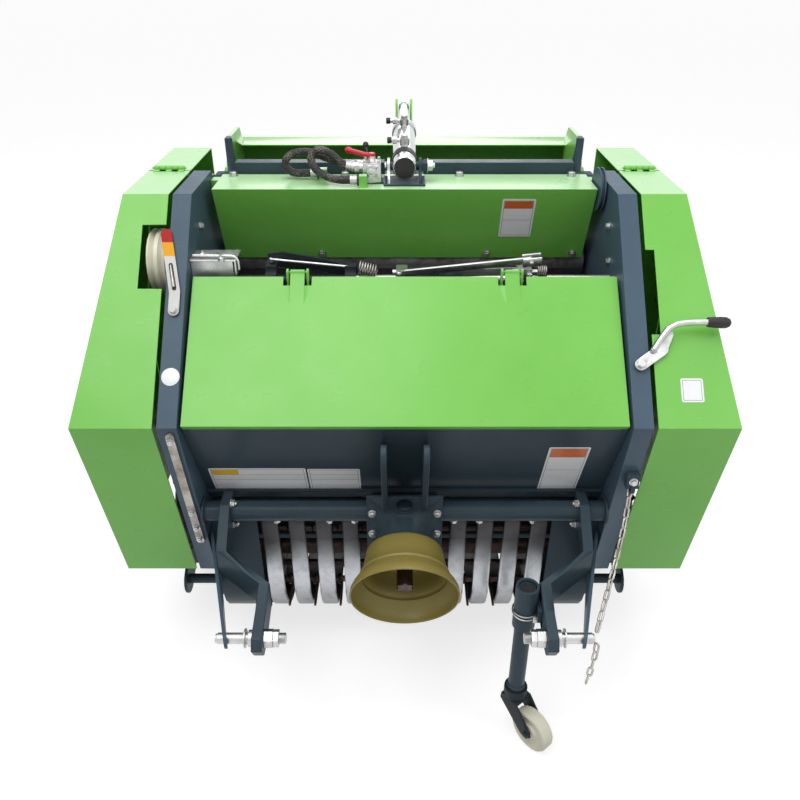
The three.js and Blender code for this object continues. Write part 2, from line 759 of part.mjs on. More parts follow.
function hitchArm() {
  const [rootBend, tipBend] = armBends;
  const half = armWidth / 2;
  const root = sidePlate(
    [[-277, 460], [-277, 528], [-325, 528], [rootBend - 1, 464], [rootBend - 1, 404], [-330, 452]],
    armRootX - half, armRootX + half,
  );
  const middle = leaningPlate(
    [[rootBend + 0.1, 404], [rootBend + 0.1, 464], [tipBend - 1, 436], [tipBend - 1, 372]],
    armRootX, armWidth, rootBend, armLean,
  );
  const tip = sidePlate(
    [[tipBend + 0.1, 372], [tipBend + 0.1, 436], [-520, 413], [-582, 402], [-rearY, 381], [-578, 350],
      [-540, 348]],
    armX - half, armX + half,
  );
  return without(joined(root, middle, tip),
    crossRod(hitchTube, 300, 480, hitchTubeRadius + fit + 0.4, 20),
    crossRod(lowerPin, 200, 400, lowerPinRadius + 0.4, 20));
}

addPair('hitch_arm', hitchArm(), paint.slate);

function hitchPin() {
  const inside = armX - armWidth / 2;
  const outside = armX + armWidth / 2;
  return joined(
    crossRod([0, 0], inside - 28, braceX + 14, lowerPinRadius, 14),
    crossRod([0, 0], inside - 18, inside - fit, 19, 6),
    crossRod([0, 0], outside + fit, outside + 9, 17, 12),
    crossRod([0, 0], braceX + 14, braceX + 18, lowerPinRadius - 2, 8),
  );
}

['right', 'left'].forEach((side) => {
  const solid = side === 'right' ? hitchPin() : hitchPin().mirror([1, 0, 0]);
  add(`${side}_lower_pin`, solid, paint.zinc).position.set(0, ...lowerPin);
});

// ---- gearbox, power take-off guard and shaft

const gearboxFront = -268;

const shaftEnd = (gearboxFront + 16 - ptoMouth[0]) / Math.cos(ptoDroop);

add('gearbox', without(
  joined(
    block(-75, 75, gearboxFront, -162, 413, lowerPlate[0][1] - 1),
    block(-75, 75, lowerPlate[0][0] + 6, -162, 470, 519.7),
    crossRod([-215, 450], -between, between, 18, 16),
  ),
  rod([0, ...droopPoint(80)], [0, ...droopPoint(shaftEnd + 3)], ptoRadius + 0.7, 24),
), paint.slate);

function ptoGuard() {
  const lip = housingRadius + fit;
  const outside = [[0, guardRim], [13, guardRim - 1], [40, 97], [50, 91], [guardLength, guardNeck]];
  const inside = outside.map(([a, r]) => [a, r - guardWall]).reverse();
  inside[0] = [guardLength - guardWall, guardNeck - guardWall];
  const profile = [...outside, [guardLength, lip], [guardLength - guardWall, lip], ...inside, outside[0]];
  const geometry = new THREE.LatheGeometry(profile.map(([a, r]) => new THREE.Vector2(r, a)), 28);
  geometry.rotateX(ptoDroop);
  geometry.translate(0, ...ptoMouth);
  return outward(geometry);
}

add('pto_guard', ptoGuard(), paint.olive);

const shaft = new THREE.Group();
shaft.position.set(0, ...ptoMouth);
shaft.rotation.x = ptoDroop;
baler.add(shaft);

function ptoShaft() {
  const splines = Array.from({ length: 6 }, (_, i) => {
    const key = new THREE.BoxGeometry(7, 74, 5);
    key.translate(0, 59, ptoRadius - 2.5);
    key.rotateY((Math.PI * i) / 3);
    return solidOf(key);
  });
  return joined(alongY(22, 96, ptoRadius - 3, 20), alongY(94, shaftEnd, ptoRadius, 24), splines);
}

add('pto_shaft', ptoShaft(), paint.steel, shaft);

// ---- pick-up: stripper bands, side sheets and the tine reel

const bandFront = -275;
const bandTopZ = 452;
const shortBandTopZ = 400; // the middle band stays under the shaft
const bandRearY = 38;
const bandFloorZ = reelCentre[1] - bandRadius;
const bandRail = { y: [bandFront + bandSheet - 1, bandFront + 14], z: [386, 399], floor: 12 };

function pickupSheet(x0, x1, topZ) {
  const path = [
    [bandFront, topZ],
    ...arc(reelCentre, bandRadius, 172, 270, 6),
    [bandRearY, bandFloorZ],
  ];
  return sheet(path, -bandSheet, x0, x1);
}

function stripperBands() {
  const middle = (bandCount - 1) / 2;
  const bands = Array.from({ length: bandCount }, (_, i) => {
    const x = (i - middle) * bandPitch;
    return pickupSheet(x - bandWidth / 2, x + bandWidth / 2, i === middle ? shortBandTopZ : bandTopZ);
  });
  const topRail = block(-between, between, ...bandRail.y, ...bandRail.z);
  const floorRail = block(-between, between, bandRearY - bandRail.floor, bandRearY + 2,
    bandFloorZ - 10, bandFloorZ + 2);
  return joined(bands, topRail, floorRail);
}

add('stripper_bands', stripperBands(), paint.band);

const sideSheetInner = bandPitch * 5 + bandWidth / 2 + 8;

addPair('pickup_side', without(
  pickupSheet(sideSheetInner, between - fit, bandTopZ),
  block(0, postOuter + 20, bandRail.y[0] - fit, bandRail.y[1] + fit,
    bandRail.z[0] - fit, bandRail.z[1] + fit),
  block(0, postOuter + 20, bandRearY - bandRail.floor - fit, bandRearY + 20,
    bandFloorZ - 20, bandFloorZ + 2 + fit),
), paint.slate);

function tineReel() {
  const reach = bandPitch * 5 + 8;
  const pieces = [
    crossRod([0, 0], -between, between, 20, 20),
    crossRod([0, 0], -reach, -reach + 5, tineBarCircle + 12, 20),
    crossRod([0, 0], reach - 5, reach, tineBarCircle + 12, 20),
  ];
  for (let b = 0; b < tineBars; b += 1) {
    const angle = 20 + (360 * b) / tineBars;
    pieces.push(crossRod(polar([0, 0], tineBarCircle, angle), -reach, reach, 8, 8));
    for (let t = 0; t < bandCount - 1; t += 1) {
      const x = (t + 0.5 - (bandCount - 1) / 2) * bandPitch;
      const root = polar([0, 0], tineBarCircle, angle);
      const tip = polar([0, 0], tineReach, angle - 6);
      pieces.push(rod([x, ...root], [x, ...tip], 3.2, 4));
    }
  }
  return joined(pieces);
}

add('tine_reel', tineReel(), paint.steel).position.set(0, ...reelCentre);

// ---- chain drives outside the walls

function chainDrive() {
  const centres = [0, 1, 2, 3].map((i) => rollerAt(firstRoller + rollerPitch * i));
  centres.push(rollerAt(floorRoller));
  const radius = 36;
  const x0 = wallOutside + fit;
  const ring = [];
  const count = centres.length;
  centres.forEach((centre, i) => {
    const before = centres[(i + count - 1) % count];
    const after = centres[(i + 1) % count];
    const inAngle = THREE.MathUtils.radToDeg(Math.atan2(centre[1] - before[1], centre[0] - before[0])) - 90;
    let outAngle = THREE.MathUtils.radToDeg(Math.atan2(after[1] - centre[1], after[0] - centre[0])) - 90;
    while (outAngle < inAngle) {
      outAngle += 360;
    }
    ring.push(...arc(centre, radius, inAngle, outAngle, 2));
  });
  const outer = sidePlate(ring, x0 + 8, x0 + 20);
  const inner = sidePlate(offsetPath([...ring, ring[0]], -8).slice(0, -1), x0, x0 + 30);
  const wheels = centres.map((centre) => joined(
    crossRod(centre, x0 + 10, x0 + 18, radius - 6, 10),
    crossRod(centre, x0, x0 + 24, 16, 6),
  ));
  return joined(without(outer, inner), wheels);
}

addPair('chain_drive', chainDrive(), paint.steel);

// ---- twine sheave seen through the left cover's notch

const sheave = { centre: [-66, 980], radius: 70, x: [coverInside + 3, coverInside + 41] };

function driveSheave() {
  const [x0, x1] = sheave.x;
  const middle = (x0 + x1) / 2;
  const groove = 9;
  const profile = [
    [x0, 0], [x0, sheave.radius], [x0 + 4, sheave.radius], [x0 + 9, sheave.radius - groove],
    [middle - 4, sheave.radius], [middle + 4, sheave.radius], [x1 - 9, sheave.radius - groove],
    [x1 - 4, sheave.radius], [x1, sheave.radius], [x1, 0],
  ];
  return joined(turned(profile, 24), crossRod([0, 0], wallOutside + fit, x1 + 10, 11, 12)).mirror([1, 0, 0]);
}

add('twine_sheave', driveSheave(), paint.zinc).position.set(0, ...sheave.centre);

// ---- ground wheels

const wheelMiddle = tyreInnerX + tyreWidth / 2;
const wheelSides = 32;

function tyre() {
  const half = tyreWidth / 2;
  const inner = rimRadius + fit;
  const profile = [
    [-half + 12, inner], [-half, inner + 34], [-half + 5, wheelRadius - 20], [-half + 26, wheelRadius],
    [half - 26, wheelRadius], [half - 5, wheelRadius - 20], [half, inner + 34], [half - 12, inner],
    [-half + 12, inner],
  ];
  return turned(profile, wheelSides);
}

function rim() {
  const half = tyreWidth / 2 - 13;
  const profile = [
    [-half, rimRadius], [half, rimRadius], [half, rimRadius - 9], [8, rimRadius - 14], [10, 36], [34, 34],
    [34, axleRadius + 0.8], [-34, axleRadius + 0.8], [-34, 34], [0, 36], [0, rimRadius - 14],
    [-half, rimRadius - 9], [-half, rimRadius],
  ];
  return turned(profile, wheelSides);
}

[1, -1].forEach((side) => {
  const name = side > 0 ? 'right' : 'left';
  const wheel = new THREE.Group();
  wheel.position.set(side * wheelMiddle, wheelY, wheelRadius);
  baler.add(wheel);
  const hub = side > 0 ? rim() : rim().mirror([1, 0, 0]);
  add(`${name}_rim`, hub, paint.zinc, wheel);
  add(`${name}_tyre`, tyre(), paint.rubber, wheel);
});

// axle stub on a carrier plate bolted to the wall, with a rounded skid plate in front

const skid = [-196, 186];
const skidRadius = 40;
const skidOutside = tyreInnerX + 45;

function axleCarrier() {
  const axle = [wheelY, wheelRadius];
  const plate = sidePlate(
    [...arc(axle, 46, -60, 60, 8), [wheelY, 330], [20, 330], ...arc(skid, skidRadius, 100, 250, 8)],
    wallOutside + fit, wallOutside + 7.5,
  );
  const outerSkid = sidePlate(strap([skid[0] + 40, skid[1] + 22], skid, skidRadius - 4),
    skidOutside - 7, skidOutside);
  return joined(
    plate,
    crossRod(axle, wallOutside + 5, wheelMiddle + 40, axleRadius, 20),
    crossRod(axle, wallOutside + 5, wheelMiddle - 35, 27, 20),
    crossRod(skid, wallOutside + 5, skidOutside, 12, 16),
    outerSkid,
  );
}

addPair('axle_carrier', axleCarrier(), paint.slate);

// ---- parking jack with a caster

const sleeve = { z: [332, 443] };
const legFoot = 138;

function jackSleeve() {
  const tube = without(
    rod([...jack, sleeve.z[0]], [...jack, sleeve.z[1]], jackSleeveRadius, 28),
    rod([...jack, sleeve.z[0] - 5], [...jack, sleeve.z[1] + 5], jackRadius + 0.9, 28),
  );
  const plateX = armX - armWidth / 2 - fit;
  const plate = block(plateX - 8, plateX, jack[1] - 34, jack[1] + 13, 372, 404);
  return without(joined(tube, plate), rod([...jack, 300], [...jack, 500], jackRadius + 0.9, 28));
}

add('jack_sleeve', jackSleeve(), paint.slate);
add('jack_leg', joined(
  rod([...jack, legFoot], [...jack, sleeve.z[1] - 8], jackRadius, 28),
  rod([...jack, legFoot - 12], [...jack, legFoot + 4], 11, 20),
), paint.slate);

const caster = new THREE.Group();
caster.position.set(...jack, 0);
caster.rotation.z = casterAngle;
baler.add(caster);

const forkHalf = casterWidth / 2 + 4;
const forkPlate = 4;

function casterFork() {
  const outer = forkHalf + forkPlate;
  const head = without(
    joined(rod([0, 0, 112], [0, 0, legFoot - fit], 26, 20), block(-20, 26, -outer, outer, 106, 114)),
    rod([0, 0, 100], [0, 0, 150], 11.8, 20),
  );
  const cheeks = [-1, 1].map((side) => {
    const shape = new THREE.Shape([
      new THREE.Vector2(-20, 113), new THREE.Vector2(-22, 96), new THREE.Vector2(casterTrail - 13, 38),
      new THREE.Vector2(casterTrail + 3, 36), new THREE.Vector2(casterTrail + 14, 50),
      new THREE.Vector2(casterTrail + 6, 66), new THREE.Vector2(26, 113),
    ]);
    const geometry = new THREE.ExtrudeGeometry(shape, { depth: forkPlate, bevelEnabled: false });
    geometry.rotateX(Math.PI / 2);
    geometry.translate(0, side > 0 ? outer : -forkHalf, 0);
    return solidOf(geometry);
  });
  const pinEnd = outer + 4;
  const pin = rod([casterTrail, -pinEnd, casterRadius], [casterTrail, pinEnd, casterRadius], 6, 16);
  return joined(head, cheeks, pin);
}

add('caster_fork', casterFork(), paint.steel, caster);

function casterWheel() {
  const half = casterWidth / 2;
  const profile = [
    [-half, 20], [-half, 7], [half, 7], [half, 20], [half - 5, 24], [half - 5, 38], [half, 42],
    [half - 2, 48], [half - 6, casterRadius], [-half + 6, casterRadius], [-half + 2, 48], [-half, 42],
    [-half + 5, 38], [-half + 5, 24], [-half, 20],
  ];
  const geometry = new THREE.LatheGeometry(profile.map(([a, r]) => new THREE.Vector2(r, a)), 18);
  return outward(geometry);
}

add('caster_wheel', casterWheel(), paint.nylon, caster).position.set(casterTrail, 0, casterRadius);

// ---- fittings on the slope of the posts

const slope = new THREE.Group();
slope.position.set(0, ...ridge);
slope.rotation.x = slopeAngle;
baler.add(slope);

function flatBar(a, b, half, z0, z1) {
  const shape = new THREE.Shape(strap(a, b, half, 8).map(([x, y]) => new THREE.Vector2(x, y)));
  const geometry = new THREE.ExtrudeGeometry(shape, { depth: z1 - z0, bevelEnabled: false });
  geometry.translate(0, 0, z0);
  return solidOf(geometry);
}

const gauge = {
  foot: [-postMiddle, 238],
  knee: [-postMiddle, 276],
  head: [-postMiddle - 25, 402],
  half: 11,
  lift: 3,
};

add('bale_gauge', joined(
  flatBar(gauge.foot, gauge.knee, gauge.half, gauge.lift, gauge.lift + 3),
  flatBar(gauge.knee, gauge.head, gauge.half, gauge.lift, gauge.lift + 3),
  rod([...gauge.foot, fit], [...gauge.foot, gauge.lift + 10], 7, 6),
), paint.zinc, slope);

const leverEye = [postMiddle, 126];
const leverFoot = coverInside + 14; // where the lever's bar stands on the cover

add('latch_lever', joined(
  flatBar(leverEye, [leverFoot + 2, 157], 12, 4, 9),
  flatBar([leverFoot + 2, 157], [leverFoot + 16, 188], 10, 4, 9),
  rod([...leverEye, 4], [...leverEye, 17], 9, 6),
  rod([leverFoot + 12, 180, fit], [leverFoot + 12, 180, 5], 8, 16),
  bar([
    [leverFoot - 17, 154, 14], [leverFoot - 3, 176, 22], [leverFoot + 15, 197, 29],
    [leverFoot + 45, 204, 31], [leverFoot + 93, 205, 31],
  ], 6.5, 8, 8),
  rod([leverFoot - 17, 153, 8], [leverFoot - 16, 156, 15], 6.5, 12),
  rod([leverFoot + 91, 205, 31], [leverFoot + 125, 204, 30], 9.5, 16),
), paint.zinc, slope);

// ---- twine arm, tension arm, tensioner box and rope pulley in the gap above the lid

const twineShaft = [-75, 942];

function twineArm() {
  const strip = new THREE.BoxGeometry(262, 5, 16);
  strip.rotateY(-0.03);
  strip.translate(132, 0, 0);
  return joined(
    crossRod([0, 0], -between, between, 11, 12),
    solidOf(strip.translate(0, -14, 22)),
    block(238, 268, -28, 8, -14, 34),
    block(-18, 6, -24, 12, -14, 30),
    crossRod([-14, 22], -26, 14, 7, 6),
    crossRod([-18, 24], 228, 280, 7, 6),
  );
}

function tensionArm() {
  const plate = new THREE.Shape([
    [-300, 30], [-292, 52], [-262, 56], [-170, 40], [-110, 22], [-104, 4], [-124, -2], [-190, 16], [-270, 22],
  ].map(([x, z]) => new THREE.Vector2(x, z)));
  const geometry = new THREE.ExtrudeGeometry(plate, { depth: 6, bevelEnabled: false });
  geometry.rotateX(Math.PI / 2);
  geometry.translate(0, 24, 0);
  const collars = [-286, -116].map((x) => joined(
    crossRod([0, 0], x - 12, x + 12, 18, 12),
    block(x - 12, x + 12, 0, 24, 6, 30),
  ));
  return joined(solidOf(geometry), collars);
}

add('twine_arm', twineArm().add(tensionArm()), paint.zinc).position.set(0, ...twineShaft);

add('tensioner_box', joined(
  block(-between, -354, -126, -96, 962, 1004),
  block(-between, -346, -132, -70, 1004, 1008),
  block(-350, -346, -132, -118, 975, 1006),
), paint.zinc);

// ---- control valve and its hoses

function controlValve() {
  const floor = upperTopZ + fit;
  return joined(
    block(-92, -30, 82, 122, floor, floor + 4),
    block(-92, -52, 82, 122, floor, floor + 44),
    rod([-72, 74, floor + 30], [-72, 130, floor + 30], 11, 6),
    rod([-110, 92, floor + 34], [-80, 92, floor + 34], 9, 6),
    rod([-110, 112, floor + 34], [-80, 112, floor + 34], 9, 6),
    rod([-72, 102, floor + 42], [-72, 102, floor + 56], 8, 12),
  );
}

add('cylinder_bracket', cylinderBracket().add(controlValve()), paint.slate);

const hoseRadius = 8.5;
const hoseFloor = upperTopZ + fit;

// each hose leaves the valve, rises in a loop and comes back down to a gland on the upper cover
const hoseRoutes = {
  front_hose: [
    [-111, 92, 34], [-126, 92, 34], [-142, 92, 45], [-162, 94, 62], [-190, 98, 70], [-206, 96, 58],
    [-198, 86, 34], [-170, 72, 18], [-138, glands[0].y, 14], [-120, glands[0].y, 14],
    [glands[0].x - fit, glands[0].y, 14],
  ],
  rear_hose: [
    [-111, 112, 34], [-128, 112, 34], [-148, 115, 40], [-170, 120, 46], [-214, 130, 58], [-254, 130, 52],
    [-270, 126, 32], [-252, 122, 15], [-228, glands[1].y, 14], [-210, glands[1].y, 14],
    [glands[1].x - fit, glands[1].y, 14],
  ],
};

Object.entries(hoseRoutes).forEach(([name, points]) => {
  add(name, bar(points.map(([x, y, up]) => [x, y, hoseFloor + up]), hoseRadius, 8, 26), paint.rubber);
});

// ---- check chain from the right wall to the lower pin

const chainRoute = [
  [wallOutside + 20, -358, 606], [wallOutside + 6, -400, 540], [wallOutside - 18, -455, 480],
  [wallOutside - 46, -515, 430], [braceX + 24, -561, 385],
];

add('check_chain', joined(
  bar(chainRoute, 5, 6, 16),
  rod([wallOutside + 20, -360, 606], [wallOutside + 20, -350.8, 606], 5, 8),
), paint.steel);

export default baler;
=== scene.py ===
import json
import math
import random

import bmesh
import bpy
from mathutils import Matrix, Vector


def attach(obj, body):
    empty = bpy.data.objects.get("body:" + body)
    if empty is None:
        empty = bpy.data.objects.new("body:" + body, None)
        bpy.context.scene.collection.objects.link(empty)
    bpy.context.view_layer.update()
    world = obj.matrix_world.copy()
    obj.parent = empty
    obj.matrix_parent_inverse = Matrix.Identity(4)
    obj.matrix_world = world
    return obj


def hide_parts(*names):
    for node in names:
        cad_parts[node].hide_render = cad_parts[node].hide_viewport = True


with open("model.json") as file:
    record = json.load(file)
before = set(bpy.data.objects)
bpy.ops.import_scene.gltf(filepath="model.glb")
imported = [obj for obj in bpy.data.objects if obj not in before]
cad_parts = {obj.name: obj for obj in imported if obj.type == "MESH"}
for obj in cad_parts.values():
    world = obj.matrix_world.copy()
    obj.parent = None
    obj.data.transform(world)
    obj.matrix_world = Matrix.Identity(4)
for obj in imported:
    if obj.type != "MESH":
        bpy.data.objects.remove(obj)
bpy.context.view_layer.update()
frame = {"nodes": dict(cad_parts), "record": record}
scene = bpy.context.scene
scene.view_settings.view_transform = "Standard"
random.seed(7)

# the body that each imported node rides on
bodies = frame["record"]["behaviour"]["bodies"]
bodyOf = {part: body for body, parts in bodies.items() for part in parts}

# camera

camera = {"place": (-0.01, -1.60, 1.56), "pitch": 31.1, "lens": 33.98}


def addCamera():
    data = bpy.data.cameras.new("camera")
    data.lens = camera["lens"]
    data.sensor_width = 36
    data.clip_start = 0.05
    view = bpy.data.objects.new("camera", data)
    view.location = camera["place"]
    view.rotation_euler = (math.radians(90 - camera["pitch"]), 0, 0)
    scene.collection.objects.link(view)
    scene.camera = view


addCamera()
print("camera placed")

# node and mesh helpers


def node(tree, kind, inputs=None, **settings):
    made = tree.nodes.new("ShaderNode" + kind)
    for key, value in settings.items():
        setattr(made, key, value)
    for key, value in (inputs or {}).items():
        if isinstance(value, bpy.types.NodeSocket):
            tree.links.new(value, made.inputs[key])
        else:
            made.inputs[key].default_value = value
    return made


def startMaterial(name, **sockets):
    material = bpy.data.materials.new(name)
    material.use_nodes = True
    tree = material.node_tree
    shader = tree.nodes["Principled BSDF"]
    for key, value in sockets.items():
        shader.inputs[key].default_value = value
    return material, tree, shader


def objectSpace(tree, scale=(1, 1, 1), turn=(0, 0, 0)):
    place = node(tree, "TexCoord").outputs["Object"]
    return node(tree, "Mapping", {"Vector": place, "Scale": scale, "Rotation": turn}).outputs["Vector"]


def noise(tree, vector, scale, detail=3.0, roughness=0.55):
    made = node(tree, "TexNoise", {"Vector": vector, "Scale": scale, "Detail": detail,
                                   "Roughness": roughness})
    return made.outputs["Fac"]


def spread(tree, value, low, high, toLow=0.0, toHigh=1.0):
    made = node(tree, "MapRange", {"Value": value, "From Min": low, "From Max": high, "To Min": toLow,
                                   "To Max": toHigh})
    return made.outputs["Result"]


def mixed(tree, amount, first, second, blend="MIX"):
    made = node(tree, "Mix", {"Factor": amount}, data_type="RGBA", blend_type=blend)
    for index, colour in ((6, first), (7, second)):
        if isinstance(colour, bpy.types.NodeSocket):
            tree.links.new(colour, made.inputs[index])
        else:
            made.inputs[index].default_value = (*colour, 1)
    return made.outputs[2]


def times(tree, first, second, operation="MULTIPLY"):
    return node(tree, "Math", {0: first, 1: second}, operation=operation).outputs[0]


def linear(*screen):  # 0..255 as seen on a screen, to scene values
    return tuple(((c / 255 + 0.055) / 1.055) ** 2.4 if c > 10 else c / 255 / 12.92 for c in screen)


def feed(tree, shader, colour, rough, height=None, strength=0.1, depth=0.0005):
    # a finish's colour, roughness and fine relief
    tree.links.new(colour, shader.inputs["Base Color"])
    tree.links.new(rough, shader.inputs["Roughness"])
    if height is not None:
        relief = node(tree, "Bump", {"Height": height, "Strength": strength, "Distance": depth})
        tree.links.new(relief.outputs[0], shader.inputs["Normal"])


def vertsIn(geometry):
    return [part for part in geometry if isinstance(part, bmesh.types.BMVert)]


def edgesIn(geometry):
    return [part for part in geometry if isinstance(part, bmesh.types.BMEdge)]


def roundOff(bm, edges, width, segments=2, **settings):
    bmesh.ops.bevel(bm, geom=list(edges), offset=width, affect="EDGES", segments=segments, profile=0.5,
                    material=-1, **settings)


def facing(point, normal, turn=0.0):
    tilt = Vector(normal).to_track_quat("Z", "Y").to_matrix().to_4x4()
    return Matrix.Translation(point) @ tilt @ Matrix.Rotation(turn, 4, "Z")


def finishMesh(name, bm, materials, body, sharp=38.0):
    bmesh.ops.remove_doubles(bm, verts=bm.verts, dist=1e-6)
    bmesh.ops.recalc_face_normals(bm, faces=bm.faces)
    mesh = bpy.data.meshes.new(name)
    bm.to_mesh(mesh)
    bm.free()
    mesh.shade_smooth()
    mesh.set_sharp_from_angle(angle=math.radians(sharp))
    for material in materials if isinstance(materials, (list, tuple)) else [materials]:
        mesh.materials.append(material)
    piece = bpy.data.objects.new(name, mesh)
    scene.collection.objects.link(piece)
    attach(piece, body)
    return piece


def addRod(bm, start, end, radius, sides=20, endRadius=None, bevel=0.0):
    start, end = Vector(start), Vector(end)
    place = facing((start + end) / 2, end - start)
    made = bmesh.ops.create_cone(bm, cap_ends=True, segments=sides, radius1=radius,
                                 radius2=radius if endRadius is None else endRadius,
                                 depth=(end - start).length, matrix=place)
    if bevel:
        rims = {e for v in made["verts"] for e in v.link_edges
                if any(len(f.verts) == sides for f in e.link_faces)}
        roundOff(bm, rims, bevel)


def addBlock(bm, low, high, bevel=0.0, place=Matrix()):
    low, high = Vector(low), Vector(high)
    size = high - low
    local = Matrix.Translation((low + high) / 2) @ Matrix.Diagonal((*size, 1))
    made = bmesh.ops.create_cube(bm, size=1, matrix=place @ local)
    if bevel:
        roundOff(bm, {e for v in made["verts"] for e in v.link_edges}, bevel)


def addTurned(bm, profile, place, steps=48):
    # profile of (height along the axis, radius), spun about the local Z axis
    verts = [bm.verts.new(place @ Vector((radius, 0, height))) for height, radius in profile]
    edges = [bm.edges.new(pair) for pair in zip(verts, verts[1:])]
    axis = (place.to_3x3() @ Vector((0, 0, 1))).normalized()
    bmesh.ops.spin(bm, geom=verts + edges, cent=place.translation, axis=axis, angle=math.tau, steps=steps,
                   use_merge=True)


def addHexBolt(bm, place, across=0.013, head=0.0055, washer=0.009, tip=0.0):
    base, crown = 0.0014, 0.001
    flat = across / math.sqrt(3)
    # washer, hexagon, its chamfered crown and any thread: foot, depth, sides, lower and upper radius
    steps = [(0, base, 20, washer, washer), (base, head, 6, flat, flat),
             (base + head, crown, 12, flat * 0.93, flat * 0.74)]
    if tip:
        steps.append((base + head, tip, 14, across * 0.3, across * 0.26))
    for foot, depth, sides, lower, upper in steps:
        shift = Matrix.Translation((0, 0, foot + depth / 2))
        bmesh.ops.create_cone(bm, cap_ends=True, segments=sides, radius1=lower, radius2=upper, depth=depth,
                              matrix=place @ shift)


def boltSet(name, body, spots, **sizes):
    bm = bmesh.new()
    for point, normal in spots:
        addHexBolt(bm, facing(point, normal, random.uniform(0, 1)), **sizes)
    return finishMesh(name, bm, zincPlate, body, 25)


def addTube(bm, points, radius, sides=10, uvName=None):
    # a ring carried along the points, with its turn kept from one to the next
    points = [Vector(p) for p in points]
    tangents = [(points[min(i + 1, len(points) - 1)] - points[max(i - 1, 0)]).normalized()
                for i in range(len(points))]
    side = tangents[0].orthogonal().normalized()
    rings = []
    for point, tangent in zip(points, tangents):
        side = (side - tangent * side.dot(tangent)).normalized()
        other = tangent.cross(side)
        turn = Matrix((side, other, tangent)).transposed().to_4x4()
        ring = bmesh.ops.create_circle(bm, segments=sides, radius=radius,
                                       matrix=Matrix.Translation(point) @ turn)
        rings.append(ring["verts"])
    faces = []
    for first, second in zip(rings, rings[1:]):
        edges = [e for ring in (first, second) for e in {e for v in ring for e in v.link_edges}
                 if all(v in ring for v in e.verts)]
        faces.append(bmesh.ops.bridge_loops(bm, edges=edges)["faces"])
    for ring in (rings[0], rings[-1]):
        bm.faces.new(ring)
    if uvName:
        layer = bm.loops.layers.uv.new(uvName)
        lengths = [0.0]
        for a, b in zip(points, points[1:]):
            lengths.append(lengths[-1] + (b - a).length)
        where = {v: (i, k) for i, ring in enumerate(rings) for k, v in enumerate(ring)}
        for strip in faces:
            for face in strip:
                turns = [where[loop.vert][1] for loop in face.loops]
                for loop, turn in zip(face.loops, turns):
                    wrapped = sides if turn == 0 and max(turns) == sides - 1 else turn
                    loop[layer].uv = (lengths[where[loop.vert][0]], wrapped / sides)


def smoothRoute(points, step):
    # an even route on a centripetal spline through the points, and its length
    points = [Vector(p) for p in points]
    points = [points[0] * 2 - points[1], *points, points[-1] * 2 - points[-2]]
    dense = []
    for p0, p1, p2, p3 in zip(points, points[1:], points[2:], points[3:]):
        t0 = 0.0
        t1 = t0 + (p1 - p0).length ** 0.5
        t2 = t1 + (p2 - p1).length ** 0.5
        t3 = t2 + (p3 - p2).length ** 0.5
        for i in range(16):
            t = t1 + (t2 - t1) * i / 16
            a1 = p0 * ((t1 - t) / (t1 - t0)) + p1 * ((t - t0) / (t1 - t0))
            a2 = p1 * ((t2 - t) / (t2 - t1)) + p2 * ((t - t1) / (t2 - t1))
            a3 = p2 * ((t3 - t) / (t3 - t2)) + p3 * ((t - t2) / (t3 - t2))
            b1 = a1 * ((t2 - t) / (t2 - t0)) + a2 * ((t - t0) / (t2 - t0))
            b2 = a2 * ((t3 - t) / (t3 - t1)) + a3 * ((t - t1) / (t3 - t1))
            dense.append(b1 * ((t2 - t) / (t2 - t1)) + b2 * ((t - t1) / (t2 - t1)))
    dense.append(points[-2])
    total = sum((b - a).length for a, b in zip(dense, dense[1:]))
    count = max(2, round(total / step))
    route, walked, index = [dense[0]], 0.0, 0
    for i in range(1, count):
        goal = total * i / count
        while walked + (dense[index + 1] - dense[index]).length < goal:
            walked += (dense[index + 1] - dense[index]).length
            index += 1
        part = (goal - walked) / (dense[index + 1] - dense[index]).length
        route.append(dense[index].lerp(dense[index + 1], part))
    route.append(dense[-1])
    return route, total


# finishes

dustColour = (0.52, 0.50, 0.40)


def enamel(name, base, shade, gloss=0.3, dust=0.10, coat=0.2, spec=0.35, paintedSheen=0.0, peel=0.05):
    # sprayed paint: drifting tone, a film of dust on what faces up, fine orange peel
    material, tree, shader = startMaterial(name, **{"Coat Weight": coat, "Coat Roughness": 0.12,
                                                    "Specular IOR Level": spec})
    place = objectSpace(tree)
    tone = spread(tree, noise(tree, place, 3.2, 4), 0.35, 0.65)
    colour = mixed(tree, tone, base, shade)
    speckle = spread(tree, noise(tree, place, 70, 5, 0.7), 0.48, 0.72)
    cloud = spread(tree, noise(tree, place, 5.5, 6, 0.65), 0.42, 0.75)
    upward = node(tree, "SeparateXYZ", {0: node(tree, "NewGeometry").outputs["Normal"]}).outputs["Z"]
    lift = spread(tree, upward, -0.2, 1.0, 0.25, 1.0)
    film = times(tree, times(tree, times(tree, cloud, speckle), lift), dust)
    colour = mixed(tree, film, colour, dustColour)
    # what lies flat is painted paler: a painted sheen of the bright sky on flat tops
    sheenMask = times(tree, spread(tree, upward, 0.93, 0.995), paintedSheen)
    colour = mixed(tree, sheenMask, colour, (0.80, 0.95, 0.80))
    # sparse hairline scuffs
    lines = noise(tree, objectSpace(tree, (9, 120, 30), (0.3, 0.5, 0.8)), 3.0, 2)
    scuff = times(tree, spread(tree, lines, 0.70, 0.74), 0.22)
    colour = mixed(tree, scuff, colour, [min(1, c * 1.4 + 0.03) for c in base])
    rough = times(tree, spread(tree, noise(tree, place, 14, 4), 0.3, 0.7, gloss - 0.05, gloss + 0.07),
                  times(tree, film, 2.0), "ADD")
    feed(tree, shader, colour, rough, noise(tree, place, 420, 2), peel, 0.0006)
    return material


